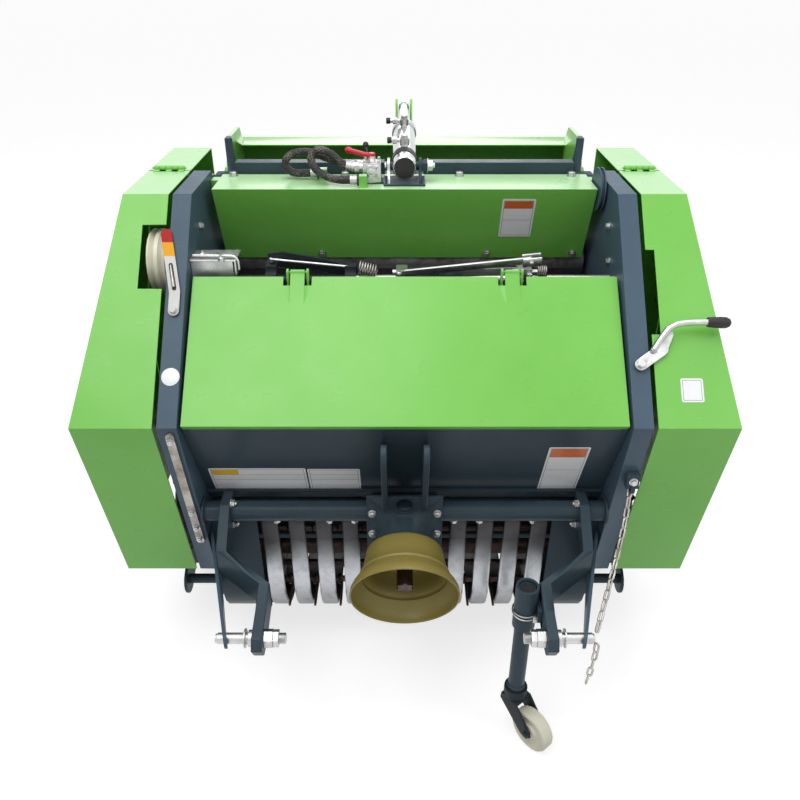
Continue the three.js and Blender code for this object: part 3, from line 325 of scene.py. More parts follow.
def metal(name, base, dark, rough=0.35, grain=(1, 1, 1), grainScale=160.0, grime=0.35, bumpy=0.12):
    # bare or plated metal: drawn grain, dull patches, grime in the low spots
    material, tree, shader = startMaterial(name, Metallic=1.0)
    drawn = noise(tree, objectSpace(tree, grain), grainScale, 3)
    patch = spread(tree, noise(tree, objectSpace(tree), 26, 6, 0.7), 0.42, 0.68)
    colour = mixed(tree, times(tree, patch, grime), base, dark)
    colour = mixed(tree, times(tree, drawn, 0.25), colour, [c * 0.72 for c in base])
    ramped = times(tree, spread(tree, drawn, 0.3, 0.7, rough - 0.08, rough + 0.08),
                   times(tree, patch, 0.22), "ADD")
    feed(tree, shader, colour, ramped, drawn, bumpy)
    return material


def bandWithPaintedShade(name, litMiddle, shadedEnds):
    # each band is painted bright in the middle and darker towards its top and bottom: painted shade, deepest
    # at the top in the shadow of the tube
    litFrom, litFull, shadeFrom, shadeFull = 0.085, 0.240, 0.265, 0.385
    material, tree, shader = startMaterial(name, Metallic=1.0)
    place = objectSpace(tree)
    height = node(tree, "SeparateXYZ", {0: place}).outputs["Z"]
    height = times(tree, height, spread(tree, noise(tree, place, 9, 3), 0.3, 0.7, -0.012, 0.012), "ADD")
    ramped = times(tree, spread(tree, height, litFrom, litFull),
                   spread(tree, height, shadeFrom, shadeFull, 1.0, 0.0))
    stain = spread(tree, noise(tree, place, 30, 6, 0.7), 0.48, 0.74, 0.0, 0.35)
    drawn = noise(tree, objectSpace(tree, (60, 3, 3)), 20, 3)
    colour = mixed(tree, stain, mixed(tree, ramped, shadedEnds, litMiddle), shadedEnds)
    colour = mixed(tree, times(tree, drawn, 0.3), colour, [c * 1.5 for c in shadedEnds])
    rough = times(tree, spread(tree, ramped, 0, 1, 0.50, 0.30), times(tree, stain, 0.3), "ADD")
    feed(tree, shader, colour, rough, drawn, 0.15)
    return material


def moulded(name, base, shade, rough=0.5, mottle=18.0, pit=300.0, bumpy=0.15, spec=0.45):
    # plastic or rubber with a matt skin
    material, tree, shader = startMaterial(name, **{"Specular IOR Level": spec})
    place = objectSpace(tree)
    colour = mixed(tree, spread(tree, noise(tree, place, mottle, 5, 0.65), 0.35, 0.7), base, shade)
    chalk = times(tree, spread(tree, noise(tree, place, mottle * 4, 6, 0.75), 0.55, 0.8), 0.25)
    colour = mixed(tree, chalk, colour, [min(1, c * 1.5 + 0.02) for c in base])
    patchy = spread(tree, noise(tree, place, mottle * 2, 3), 0.3, 0.7, rough - 0.08, rough + 0.1)
    feed(tree, shader, colour, patchy, noise(tree, place, pit, 3), bumpy)
    return material


# the green's flat tops carry a painted sheen
greenEnamel = enamel("greenEnamel", linear(124, 200, 87), linear(116, 192, 79), coat=0.15, spec=0.3,
                     paintedSheen=0.4)
slateEnamel = enamel("slateEnamel", linear(58, 74, 84), linear(48, 63, 72), 0.40, 0.05, 0.04, 0.14)
# the side walls' enamel is the slate paint painted lighter, a painted highlight; shadowEnamel is the same
# paint painted darker, painted shade
litSlateEnamel = enamel("litSlateEnamel", linear(78, 98, 114), linear(68, 87, 102), 0.40, 0.05, 0.06, 0.18)
shadowEnamel = enamel("shadowEnamel", linear(40, 48, 54), linear(34, 41, 46), 0.46, 0.08, 0.02, 0.14)
# the bands' dark ends are painted shade
bandSteel = bandWithPaintedShade("bandSteel", (0.56, 0.58, 0.61), (0.085, 0.085, 0.09))
zincPlate = metal("zincPlate", (0.60, 0.61, 0.61), (0.36, 0.35, 0.31), 0.32, (1, 1, 1), 240, 0.45)
darkSteel = metal("darkSteel", (0.20, 0.20, 0.20), (0.07, 0.06, 0.055), 0.45, (1, 1, 1), 120, 0.7, 0.25)
wornSteel = metal("wornSteel", (0.42, 0.40, 0.37), (0.14, 0.10, 0.07), 0.42, (1, 1, 1), 90, 0.7, 0.3)
chainSteel = metal("chainSteel", (0.55, 0.53, 0.50), (0.20, 0.15, 0.11), 0.38, (1, 1, 1), 200, 0.6, 0.2)
oiledSteel = metal("oiledSteel", (0.13, 0.09, 0.08), (0.04, 0.03, 0.03), 0.4, (1, 1, 1), 90, 0.7, 0.3)
polished = metal("polished", (0.70, 0.71, 0.72), (0.42, 0.42, 0.41), 0.1, (1, 30, 1), 60, 0.2, 0.03)
guardPlastic = moulded("guardPlastic", linear(142, 129, 66), linear(130, 117, 57), 0.42, 9, 220, 0.12)
tyreRubber = moulded("tyreRubber", (0.018, 0.018, 0.019), (0.035, 0.033, 0.031), 0.72, 20, 260, 0.3, 0.3)
gripRubber = moulded("gripRubber", (0.012, 0.012, 0.013), (0.02, 0.02, 0.02), 0.5, 40, 500, 0.1)
creamNylon = moulded("creamNylon", linear(228, 226, 208), linear(212, 208, 184), 0.45, 22, 260, 0.08)
redPlastic = moulded("redPlastic", linear(206, 40, 58), linear(190, 32, 48), 0.35, 30, 300, 0.05)
rimPaint = enamel("rimPaint", linear(196, 198, 196), linear(182, 184, 182), 0.4, 0.25, 0.1, 0.3)
print("finishes ready")

# hoses first: their routes repeat the model's own

hose = {"floor": 1.1053, "radius": 0.0085, "step": 0.012, "reach": 0.019}
glands = ((-0.100, 0.062), (-0.192, 0.120))
hoseRoutes = {
    "front": [(-111, 92, 34), (-126, 92, 34), (-142, 92, 45), (-162, 94, 62), (-190, 98, 70), (-206, 96, 58),
              (-198, 86, 34), (-170, 72, 18), (-138, 62, 14), (-120, 62, 14), (-100.3, 62, 14)],
    "rear": [(-111, 112, 34), (-128, 112, 34), (-148, 115, 40), (-170, 120, 46), (-214, 130, 58),
             (-254, 130, 52), (-270, 126, 32), (-252, 122, 15), (-228, 120, 14), (-210, 120, 14),
             (-192.3, 120, 14)],
}


def braidedRubber():
    # two families of threads wound both ways along the hose's own map
    material, tree, shader = startMaterial("braidedRubber", **{"Specular IOR Level": 0.4})
    place = node(tree, "UVMap", uv_map="along").outputs["UV"]
    part = node(tree, "SeparateXYZ", {0: place})
    along = times(tree, part.outputs["X"], 95.0)
    around = times(tree, part.outputs["Y"], 7.0)
    threads = []
    for operation in ("ADD", "SUBTRACT"):
        phase = times(tree, times(tree, along, around, operation), math.tau)
        threads.append(node(tree, "Math", {0: phase}, operation="SINE").outputs[0])
    weave = spread(tree, times(tree, *threads, "MAXIMUM"), -0.2, 1.0)
    grey = spread(tree, noise(tree, objectSpace(tree), 34, 5, 0.7), 0.45, 0.66)
    worn = times(tree, times(tree, weave, grey), 0.85)
    colour = mixed(tree, worn, linear(38, 38, 38), linear(150, 142, 130))
    feed(tree, shader, colour, spread(tree, weave, 0, 1, 0.72, 0.45), weave, 0.5, 0.0012)
    return material


hoseSkin = braidedRubber()


def addHose(side):
    points = [(x / 1000, y / 1000, hose["floor"] + up / 1000) for x, y, up in hoseRoutes[side]]
    route, length = smoothRoute(points, hose["step"])
    bm = bmesh.new()
    addTube(bm, route, hose["radius"], 14, "along")
    piece = finishMesh(f"{side}Hose", bm, hoseSkin, "frame")
    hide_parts(f"{side}_hose")
    # crimped ferrules at both ends
    bm = bmesh.new()
    for start, nearby in ((route[0], route[2]), (route[-1], route[-3])):
        along = (nearby - start).normalized()
        profile = [(0.0, 0.0092), (0.0006, 0.0100), (0.005, 0.0100), (0.0056, 0.0093), (0.0075, 0.0093),
                   (0.0081, 0.0100), (0.0125, 0.0100), (0.0131, 0.0093), (0.015, 0.0093), (0.0156, 0.0100),
                   (0.0184, 0.0100), (hose["reach"], 0.0088)]
        addTurned(bm, profile, facing(start, along), 24)
    finishMesh(f"{side}HoseFerrules", bm, zincPlate, "frame")
    print(f"{side} hose {length:.3f} m")


for side in hoseRoutes:
    addHose(side)

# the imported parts, welded, their edges broken and painted

paints = {
    "green": (greenEnamel, "green_paint"),
    "slate": (slateEnamel, "slate_paint"),
    # the walls' paint and the shadow paint are the slate paint painted lighter and darker: painted light and
    # shade
    "wall": (litSlateEnamel, "slate_paint"),
    "shadow": (shadowEnamel, "slate_paint"),
    "zinc": (zincPlate, "zinc"),
    "steel": (darkSteel, "bare_steel"),
    "worn": (wornSteel, "bare_steel"),
    "oiled": (oiledSteel, "bare_steel"),
    "chrome": (polished, "cylinder_chrome"),
    "rim": (rimPaint, "wheel_paint"),
    "cream": (creamNylon, "nylon"),
}
dressed = {
    "green": ["right_front_cover", "left_front_cover", "right_rear_cover", "left_rear_cover", "upper_cover",
              "front_lid", "tailgate", "right_tailgate_cover", "left_tailgate_cover"],
    "wall": ["right_side_wall", "left_side_wall"],
    "slate": ["top_cross_beam", "hitch_headstock", "right_hitch_arm", "left_hitch_arm",
              "right_pickup_side", "left_pickup_side", "right_axle_carrier", "left_axle_carrier",
              "jack_sleeve", "jack_leg", "gearbox"],
    "zinc": ["latch_lever", "tensioner_box", "right_lower_pin", "left_lower_pin"],
    "shadow": ["caster_fork"],
    "worn": ["right_chain_drive", "left_chain_drive"],
    "oiled": ["pto_shaft"],
    "chrome": ["cylinder_rod"],
    "cream": ["caster_wheel", "twine_sheave"],
    "rim": ["right_rim", "left_rim"],
}
edgeBreak = {"hitch_headstock": 0.0016, "right_hitch_arm": 0.0024, "left_hitch_arm": 0.0024,
             "top_cross_beam": 0.0016, "caster_fork": 0.0012, "gearbox": 0.002}
plainEdge = 0.0009
# an edge is softened past the corner angle, and a long one in green sheet past the fold's
folds = {"length": 0.12, "angle": 8.0, "corner": 34.0}


def camelName(name):
    first, *rest = name.split("_")
    return first + "".join(word.capitalize() for word in rest)


def softenEdges(bm, width, foldLength):
    bmesh.ops.remove_doubles(bm, verts=bm.verts, dist=2e-5)
    bmesh.ops.dissolve_limit(bm, angle_limit=math.radians(0.4), verts=bm.verts, edges=bm.edges)
    short = {v for e in bm.edges if e.calc_length() < 2.3 * width for v in e.verts}
    sharp = [e for e in bm.edges if len(e.link_faces) == 2 and e.calc_face_angle(0)
             > math.radians(folds["angle"] if e.calc_length() > foldLength else folds["corner"])]
    # inner corners, and edges that run between two of them, stay as they are
    inner = {v for e in sharp if not e.is_convex for v in e.verts}
    picked = [e for e in sharp if e.is_convex and not short.intersection(e.verts)
              and not inner.issuperset(e.verts)]
    roundOff(bm, picked, width, clamp_overlap=False)
    bmesh.ops.triangulate(bm, faces=[f for f in bm.faces if len(f.verts) > 4], quad_method="BEAUTY",
                          ngon_method="BEAUTY")


def dress(nodeName, materials, slot, width=plainEdge, choose=None):
    bm = bmesh.new()
    bm.from_mesh(frame["nodes"][nodeName].data)
    softenEdges(bm, width, folds["length"] if slot == "green_paint" else math.inf)
    if choose:
        for face in bm.faces:
            face.material_index = choose(face.calc_center_median())
    piece = finishMesh(camelName(nodeName), bm, materials, bodyOf[nodeName])
    even = piece.modifiers.new("even", "WEIGHTED_NORMAL")
    even.keep_sharp = True
    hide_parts(nodeName)
    return piece


for paint, names in dressed.items():
    for name in names:
        dress(name, *paints[paint], edgeBreak.get(name, plainEdge))

# the lid's hinge lugs are green like the lid
dress("twine_box", [slateEnamel, greenEnamel], "slate_paint",
      choose=lambda c: 1 if c.z > 0.950 and c.y > -0.160 and abs(c.x) < 0.3 else 0)
valveSide = -0.0285
dress("cylinder_bracket", [slateEnamel, zincPlate], "slate_paint",
      choose=lambda c: 1 if c.x < valveSide and c.z > hose["floor"] + 0.0045 else 0)
print("packed parts dressed")

# places on the sloping posts

slope = {"foot": Vector((0, -0.383, 0.761)), "angle": math.atan2(357, 341)}
upSlope = Vector((0, math.cos(slope["angle"]), math.sin(slope["angle"])))
offSlope = Vector((0, -math.sin(slope["angle"]), math.cos(slope["angle"])))


def onSlope(x, along, lift=0.0):
    return slope["foot"] + Vector((x, 0, 0)) + upSlope * along + offSlope * lift


def plane(origin, across, up):
    across, up = Vector(across).normalized(), Vector(up).normalized()
    return Matrix.Translation(origin) @ Matrix((across, up, across.cross(up))).transposed().to_4x4()


def addLabel(bm, place, low, high, lift=0.0, thick=0.0005, corner=0.004, material=0):
    # a thin sheet with round corners, from low to high in the place's own x and y
    before = set(bm.faces)
    size = (high[0] - low[0], high[1] - low[1], thick)
    middle = Matrix.Translation(((high[0] + low[0]) / 2, (high[1] + low[1]) / 2, lift + thick / 2))
    made = bmesh.ops.create_cube(bm, size=1, matrix=place @ middle @ Matrix.Diagonal((*size, 1)))
    normal = place.to_3x3() @ Vector((0, 0, 1))
    upright = [e for e in {e for v in made["verts"] for e in v.link_edges}
               if abs((e.verts[1].co - e.verts[0].co).normalized().dot(normal)) > 0.99]
    roundOff(bm, upright, corner, 4)
    for face in set(bm.faces) - before:
        face.material_index = material


def vinyl(name, base, rough=0.35):
    material, tree, shader = startMaterial(name, **{"Coat Weight": 0.3, "Coat Roughness": 0.15})
    place = objectSpace(tree)
    soil = times(tree, spread(tree, noise(tree, place, 45, 6, 0.7), 0.5, 0.75), 0.3)
    feed(tree, shader, mixed(tree, soil, base, [c * 0.72 for c in base]),
         spread(tree, noise(tree, place, 30, 3), 0.3, 0.7, rough, rough + 0.15))
    return material


whiteVinyl = vinyl("whiteVinyl", linear(240, 242, 243))
greyVinyl = vinyl("greyVinyl", linear(120, 124, 126))
amberVinyl = vinyl("amberVinyl", linear(236, 190, 40))
orangeVinyl = vinyl("orangeVinyl", linear(214, 104, 44))
labelInks = [whiteVinyl, greyVinyl, amberVinyl, orangeVinyl]

lowerFront = {"foot": Vector((0, -0.244, 0.485)), "up": Vector((0, -0.116, 0.260)).normalized()}
hoodFront = {"foot": Vector((0, 0.109, 0.924)), "up": Vector((0, -0.069, 0.181)).normalized()}


def blankLabel(name, surface, low, high, header=None, rules=(), margin=0.004, body="frame", lift=0.0003):
    # low and high are (x, distance up the surface)
    bm = bmesh.new()
    place = plane(surface["foot"], (1, 0, 0), surface["up"])
    addLabel(bm, place, low, high, lift)
    left, foot = low[0] + margin, low[1] + margin
    right, top = high[0] - margin, high[1] - margin
    edge, rule, ink = 0.0009, 0.0008, 0.0003
    printed = {"lift": lift + ink, "thick": ink, "corner": 0.0002, "material": 1}
    for a, b in (((left, foot), (right, foot + edge)), ((left, top - edge), (right, top)),
                 ((left, foot), (left + edge, top)), ((right - edge, foot), (right, top))):
        addLabel(bm, place, a, b, **printed)
    if header:
        colour, deep, share = header
        end, under = left + (right - left) * share, top - edge * 1.5
        addLabel(bm, place, (left + edge * 1.5, under - deep), (end - edge * 1.5, under),
                 **{**printed, "corner": 0.001, "material": colour})
    for at in rules:
        height = low[1] + (high[1] - low[1]) * at
        addLabel(bm, place, (left, height), (right, height + rule), **printed)
    return finishMesh(name, bm, labelInks, body)


blankLabel("widePanelLabel", lowerFront, (-0.420, 0.034), (-0.212, 0.131), (2, 0.022, 0.3),
           (0.28, 0.5, 0.72))
blankLabel("smallPanelLabel", lowerFront, (-0.2085, 0.036), (-0.096, 0.128), None, (0.25, 0.5, 0.75))
blankLabel("tallPanelLabel", lowerFront, (0.295, 0.033), (0.380, 0.217), (3, 0.034, 1.0), (0.5,))
blankLabel("hoodLabel", hoodFront, (0.216, 0.064), (0.290, 0.168), (3, 0.020, 1.0), (0.45,))
coverSurface = {"foot": slope["foot"], "up": upSlope}
blankLabel("coverLabel", coverSurface, (0.5375, 0.052), (0.5815, 0.100), None, (), 0.0035, "right_cover")


def gaugeVinyl():
    # red, amber and bare bands, told apart by their height along the bar
    material, tree, shader = startMaterial("gaugeVinyl", **{"Roughness": 0.45, "Specular IOR Level": 0.2})
    place = node(tree, "TexCoord").outputs["Object"]
    along = node(tree, "VectorMath", {0: place, 1: tuple(upSlope)}, operation="DOT_PRODUCT").outputs["Value"]
    start = slope["foot"].dot(upSlope)
    soil = spread(tree, noise(tree, place, 60, 5, 0.7), 0.5, 0.75, 0.0, 0.25)
    bare = mixed(tree, soil, (0.62, 0.62, 0.60), (0.36, 0.34, 0.30))
    amber = mixed(tree, spread(tree, along, start + 0.353, start + 0.354), bare, linear(226, 160, 20))
    red = mixed(tree, spread(tree, along, start + 0.383, start + 0.384), amber, linear(168, 12, 12))
    tree.links.new(red, shader.inputs["Base Color"])
    return material


def addGauge():
    dress("bale_gauge", gaugeVinyl(), "zinc", 0.0006)
    lean = Vector((-0.026, 0.126)).normalized()
    low, high = 0.004, 0.064
    origin = onSlope(-0.460, 0.276)
    up = Vector((1, 0, 0)) * lean.x + upSlope * lean.y
    across = Vector((1, 0, 0)) * lean.y - upSlope * lean.x
    bm = bmesh.new()
    addLabel(bm, plane(origin, across, up), (-0.0042, low), (0.0042, high), 0.0061, 0.0004, 0.0041)
    finishMesh("gaugeSlot", bm, gripRubber, "frame")
    bm = bmesh.new()
    foot, tip = (origin + up * at + offSlope * 0.009 for at in (low + 0.006, high - 0.006))
    addRod(bm, foot, tip, 0.0034, 16, 0.0016)
    finishMesh("gaugePointer", bm, wornSteel, "frame")


addGauge()
bm = bmesh.new()
addTurned(bm, [(0.0, 0.0), (0.0, 0.0175), (0.0004, 0.0180), (0.0007, 0.0175), (0.0007, 0.0)],
          facing(onSlope(-0.459, 0.103, 0.0003), offSlope), 40)
finishMesh("postDisc", bm, whiteVinyl, "frame")
print("labels on")

# pick-up: folded stripper bands with the reel behind them

bands = {"count": 11, "pitch": 0.0615, "width": 0.039, "radius": 0.145, "centre": (-0.125, 0.232),
         "top": (-0.275, 0.452), "short": (-0.2733, 0.400), "sheet": 0.0022, "lip": 0.009, "bend": 0.0045,
         "from": 172, "sweep": 98, "steps": 22}
railHalf = 0.4407  # half-length of what just clears both side walls


def addBands():
    y, z = bands["centre"]
    half, bend, lip = bands["width"] / 2, bands["bend"], bands["lip"]
    section = [(-half, -lip)]
    section += [(-half + bend - bend * math.cos(a), -bend + bend * math.sin(a))
                for a in [math.radians(d) for d in (0, 30, 60, 90)]]
    section += [(-x, depth) for x, depth in reversed(section)]
    start = math.radians(bands["from"])
    outward = Vector((0, math.cos(start), math.sin(start)))
    hub = Vector((0, y, z))
    bm = bmesh.new()
    verts = [bm.verts.new(hub + outward * (bands["radius"] + depth) + Vector((x, 0, 0)))
             for x, depth in section]
    chain = [bm.edges.new(pair) for pair in zip(verts, verts[1:])]
    # the straight run up to the rail, then round the reel, then back under it
    rise = Vector((0, bands["top"][0], bands["top"][1])) - (hub + outward * bands["radius"])
    top = bmesh.ops.extrude_edge_only(bm, edges=chain)
    bmesh.ops.translate(bm, verts=vertsIn(top["geom"]), vec=rise)
    spun = bmesh.ops.spin(bm, geom=verts + chain, cent=hub, axis=(1, 0, 0),
                          angle=math.radians(bands["sweep"]), steps=bands["steps"])
    under = bmesh.ops.extrude_edge_only(bm, edges=edgesIn(spun["geom_last"]))
    bmesh.ops.translate(bm, verts=vertsIn(under["geom"]), vec=(0, 0.038 - y, 0))
    whole = bm.verts[:] + bm.edges[:] + bm.faces[:]
    reach = (bands["count"] - 1) / 2
    for i in range(1, bands["count"]):
        copy = bmesh.ops.duplicate(bm, geom=whole)["geom"]
        bmesh.ops.translate(bm, verts=vertsIn(copy), vec=(i * bands["pitch"], 0, 0))
    bmesh.ops.translate(bm, verts=bm.verts, vec=(-reach * bands["pitch"], 0, 0))
    # the middle band stops short, under the drive shaft
    for vert in bm.verts:
        if abs(vert.co.x) < half + 0.001 and vert.co.z > bands["top"][1] - 0.012:
            vert.co.y += bands["short"][0] - bands["top"][0]
            vert.co.z += bands["short"][1] - bands["top"][1]
    piece = finishMesh("stripperBands", bm, bandSteel, "frame", 30)
    wall = piece.modifiers.new("wall", "SOLIDIFY")
    wall.thickness = bands["sheet"]
    wall.offset = -1
    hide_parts("stripper_bands")
    # rails at both ends of the bands
    bm = bmesh.new()
    addBlock(bm, (-railHalf, -0.2715, 0.3864), (railHalf, -0.2612, 0.3986), 0.001)
    addBlock(bm, (-railHalf, 0.026, 0.0775), (railHalf, 0.040, 0.0846), 0.001)
    finishMesh("bandRails", bm, shadowEnamel, "frame")


addBands()

reel = {"centre": (-0.125, 0.232), "bars": 4, "first": 20, "bar": 0.092, "reach": 0.172, "tines": 10,
        "wire": 0.0032}


def addReel():
    y, z = reel["centre"]
    half = 0.3155

    def at(x, radius, degrees):
        angle = math.radians(degrees)
        return Vector((x, y + radius * math.cos(angle), z + radius * math.sin(angle)))

    bm = bmesh.new()
    addRod(bm, (-railHalf, y, z), (railHalf, y, z), 0.020, 28)
    for x in (-half, 0, half):
        addTurned(bm, [(-0.0025, 0.019), (-0.0025, 0.104), (0.0025, 0.104), (0.0025, 0.019)],
                  facing((x, y, z), (1, 0, 0)), 40)
    for b in range(reel["bars"]):
        degrees = reel["first"] + 360 / reel["bars"] * b
        addRod(bm, at(-half, reel["bar"], degrees), at(half, reel["bar"], degrees), 0.008, 14)
        for t in range(reel["tines"]):
            x = (t + 0.5 - (bands["count"] - 1) / 2) * bands["pitch"]
            # two coils round the bar, then a slightly swept finger
            hub = at(0, reel["bar"], degrees)
            coil = []
            for i in range(17):
                turn = math.radians(degrees) + math.tau * i / 8
                coil.append((x - 0.010 + 0.00055 * i * 1.1, hub.y + 0.0115 * math.cos(turn),
                             hub.z + 0.0115 * math.sin(turn)))
            finger = [at(x, radius, degrees - sweep) for radius, sweep in
                      ((0.118, 1.0), (0.136, 2.6), (0.154, 4.4), (reel["reach"], 6.6))]
            addTube(bm, [*coil, *finger], reel["wire"], 5)
    piece = finishMesh("tineReel", bm, oiledSteel, "tine_reel")
    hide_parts("tine_reel")


addReel()


def addShadeSheet():
    # curved dark sheet behind the reel, just outside the tine tips: painted shade, standing in for the dark
    # between the bands
    shadeSheet = {"radius": 0.1795, "thick": 0.0025, "half": 0.4405, "from": 16, "to": -49, "steps": 14}
    y, z = reel["centre"]
    first, turn = math.radians(shadeSheet["from"]), math.radians(shadeSheet["to"] - shadeSheet["from"])
    bm = bmesh.new()
    rim = (y + shadeSheet["radius"] * math.cos(first), z + shadeSheet["radius"] * math.sin(first))
    ends = [bm.verts.new((x, *rim)) for x in (-shadeSheet["half"], shadeSheet["half"])]
    edge = bm.edges.new(ends)
    bmesh.ops.spin(bm, geom=[edge, *ends], cent=(0, y, z), axis=(1, 0, 0), angle=turn, steps=shadeSheet["steps"])
    bmesh.ops.solidify(bm, geom=bm.faces[:], thickness=shadeSheet["thick"])
    bmesh.ops.recalc_face_normals(bm, faces=bm.faces)
    finishMesh("reelShadeSheet", bm, shadowEnamel, "frame")


addShadeSheet()
print("pick-up built")

# bale chamber rollers with driving ribs

roller = {"radius": 0.055, "rib": 0.0034, "ribs": 10, "half": 0.4307, "circle": 0.310,
          "chamber": (0.215, 0.585), "pitch": 33, "first": 97, "floor": 262, "journal": 0.017,
          "reach": 0.0098}
rollerAngles = {f"front_roller_{i + 1}": roller["first"] + roller["pitch"] * i for i in range(4)}
rollerAngles["floor_roller"] = roller["floor"]
rollerAngles.update({f"rear_roller_{i + 1}": roller["first"] - roller["pitch"] * (i + 1) for i in range(5)})


def addRoller(name, degrees):
    angle = math.radians(degrees)
    y, z = (c + roller["circle"] * f for c, f in zip(roller["chamber"], (math.cos(angle), math.sin(angle))))
    place = facing((0, y, z), (1, 0, 0))
    shell = roller["radius"] - roller["rib"]
    bm = bmesh.new()
    half, journal, reach = roller["half"], roller["journal"], roller["reach"]
    profile = [(-half - reach, 0.0), (-half - reach, journal), (-half + 0.005, journal),
               (-half + 0.005, 0.046), (-half, 0.047), (-half, shell)]
    profile += [(-height, radius) for height, radius in reversed(profile)]
    addTurned(bm, profile, place, 40)
    for i in range(roller["ribs"]):
        turn = Matrix.Rotation(math.tau * i / roller["ribs"], 4, "Z")
        addBlock(bm, (shell - 0.001, -0.003, -half + 0.004),
                 (roller["radius"] - 0.0002, 0.003, half - 0.004), 0.0008, place @ turn)
    piece = finishMesh(camelName(name), bm, darkSteel, bodyOf[name])
    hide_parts(name)


for name, degrees in rollerAngles.items():
    addRoller(name, degrees)
print("rollers built")

# drive shaft guard

guard = {"mouth": Vector((0, -0.473, 0.402)), "droop": math.radians(15.6)}


def addGuard():
    axis = Vector((0, math.cos(guard["droop"]), math.sin(guard["droop"])))
    place = facing(guard["mouth"], axis)
    outside = [(0.0, 0.1138), (0.0008, 0.1150), (0.0025, 0.1150), (0.006, 0.1145), (0.013, 0.1138),
               (0.022, 0.1096), (0.031, 0.1036), (0.040, 0.0974), (0.0440, 0.0952), (0.0460, 0.0962),
               (0.0485, 0.0962), (0.0505, 0.0946), (0.0540, 0.0908), (0.075, 0.0873), (0.100, 0.0833),
               (0.1045, 0.0824), (0.1070, 0.0802), (0.1079, 0.0772), (0.1079, 0.0565)]
    inside = [(0.1042, 0.0565), (0.1042, 0.0768), (0.1015, 0.0788), (0.075, 0.0833), (0.056, 0.0864),
              (0.052, 0.0900), (0.048, 0.0918), (0.043, 0.0912), (0.040, 0.0934), (0.031, 0.0996),
              (0.022, 0.1056), (0.013, 0.1098), (0.006, 0.1108), (0.0010, 0.1114), (0.0, 0.1124),
              (0.0, 0.1138)]
    bm = bmesh.new()
    addTurned(bm, outside + inside, place, 96)
    piece = finishMesh("ptoGuard", bm, guardPlastic, "frame")
    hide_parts("pto_guard")


addGuard()

# ground wheels

wheel = {"centre": (0.558, 0.135, 0.200), "half": 0.056, "inner": 0.1123, "carcass": 0.192, "outer": 0.2,
         "lugs": 18, "lugLength": 0.062, "lugWidth": 0.013, "lean": 38}
wheelSides = {"right": 1, "left": -1}


def addTyre(side, sign):
    x, y, z = wheel["centre"]
    place = facing((sign * x, y, z), (sign, 0, 0))
    half, inner, carcass = wheel["half"], wheel["inner"], wheel["carcass"]
    profile = [(-half + 0.012, inner), (-half + 0.007, inner + 0.006), (-half + 0.001, inner + 0.030),
               (-half, inner + 0.042), (-half + 0.003, carcass - 0.022), (-half + 0.012, carcass - 0.006),
               (-half + 0.024, carcass - 0.001), (0, carcass)]
    profile += [(-height, radius) for height, radius in reversed(profile[:-1])]
    profile.append(profile[0])
    bm = bmesh.new()
    addTurned(bm, profile, place, 72)
    for i in range(wheel["lugs"] * 2):
        hand = 1 if i % 2 else -1
        turn = Matrix.Rotation(math.tau * i / (wheel["lugs"] * 2), 4, "Z")
        slant = Matrix.Rotation(math.radians(wheel["lean"]) * hand, 4, "X")
        middle = Matrix.Translation((carcass - 0.002, 0, hand * half * 0.46))
        long, wide = wheel["lugLength"] / 2, wheel["lugWidth"] / 2
        addBlock(bm, (-0.006, -wide, -long), (wheel["outer"] - carcass + 0.0015, wide, long), 0.0018,
                 place @ turn @ middle @ slant)
    # lug corners stay inside the tyre's width and radius
    for vert in bm.verts:
        local = place.inverted() @ vert.co
        radius = math.hypot(local.x, local.y)
        if radius > wheel["outer"] - 0.0002:
            scale = (wheel["outer"] - 0.0002) / radius
            local.x, local.y = local.x * scale, local.y * scale
        local.z = max(-half, min(half, local.z))
        vert.co = place @ local
    piece = finishMesh(f"{side}Tyre", bm, tyreRubber, f"{side}_wheel", 45)
    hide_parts(f"{side}_tyre")
    spots = []
    for i in range(5):
        angle = math.tau * i / 5 + 0.3
        spot = (sign * (x + 0.010), y + 0.058 * math.cos(angle), z + 0.058 * math.sin(angle))
        spots.append((spot, (sign, 0, 0)))
    boltSet(f"{side}WheelBolts", f"{side}_wheel", spots, across=0.015, head=0.008, washer=0.010, tip=0.004)
    boltSet(f"{side}AxleNut", "frame", [((sign * 0.598, y, z), (sign, 0, 0))], across=0.024, head=0.012,
            washer=0.0185, tip=0.005)


for side, sign in wheelSides.items():
    addTyre(side, sign)
print("wheels built")

# check chain from the right wall down to the lower pin, with its loose tail

chain = {"wire": 0.0023, "pitch": 0.0215, "half": 0.0068}
chainRoute = [(0.466, -0.358, 0.602), (0.452, -0.400, 0.540), (0.428, -0.455, 0.480), (0.400, -0.515, 0.430),
              (0.380, -0.556, 0.392)]
chainTail = [(0.381, -0.567, 0.372), (0.380, -0.571, 0.345), (0.378, -0.572, 0.318), (0.375, -0.573, 0.291),
             (0.371, -0.574, 0.264)]


def addLink(bm, place):
    # half a ring spun, run straight, spun again and run back
    wire, half = chain["wire"], chain["half"]
    run = chain["pitch"] / 2 - half + wire
    start = place @ Matrix.Translation((half - wire, 0, -run))
    ring = bmesh.ops.create_circle(bm, segments=8, radius=wire, matrix=start)["verts"]
    edges = list({e for v in ring for e in v.link_edges})
    axis = place.to_3x3() @ Vector((0, -1, 0))
    first = ring + edges
    for end in (1, -1):
        grown = bmesh.ops.extrude_edge_only(bm, edges=edgesIn(first))["geom"]
        rim = vertsIn(grown)
        bmesh.ops.translate(bm, verts=rim, vec=place.to_3x3() @ Vector((0, 0, 2 * run * end)))
        loop = rim + [e for e in edgesIn(grown) if all(v in rim for v in e.verts)]
        turned = bmesh.ops.spin(bm, geom=loop, cent=place @ Vector((0, 0, run * end)), axis=axis,
                                angle=math.pi, steps=8)
        first = turned["geom_last"]


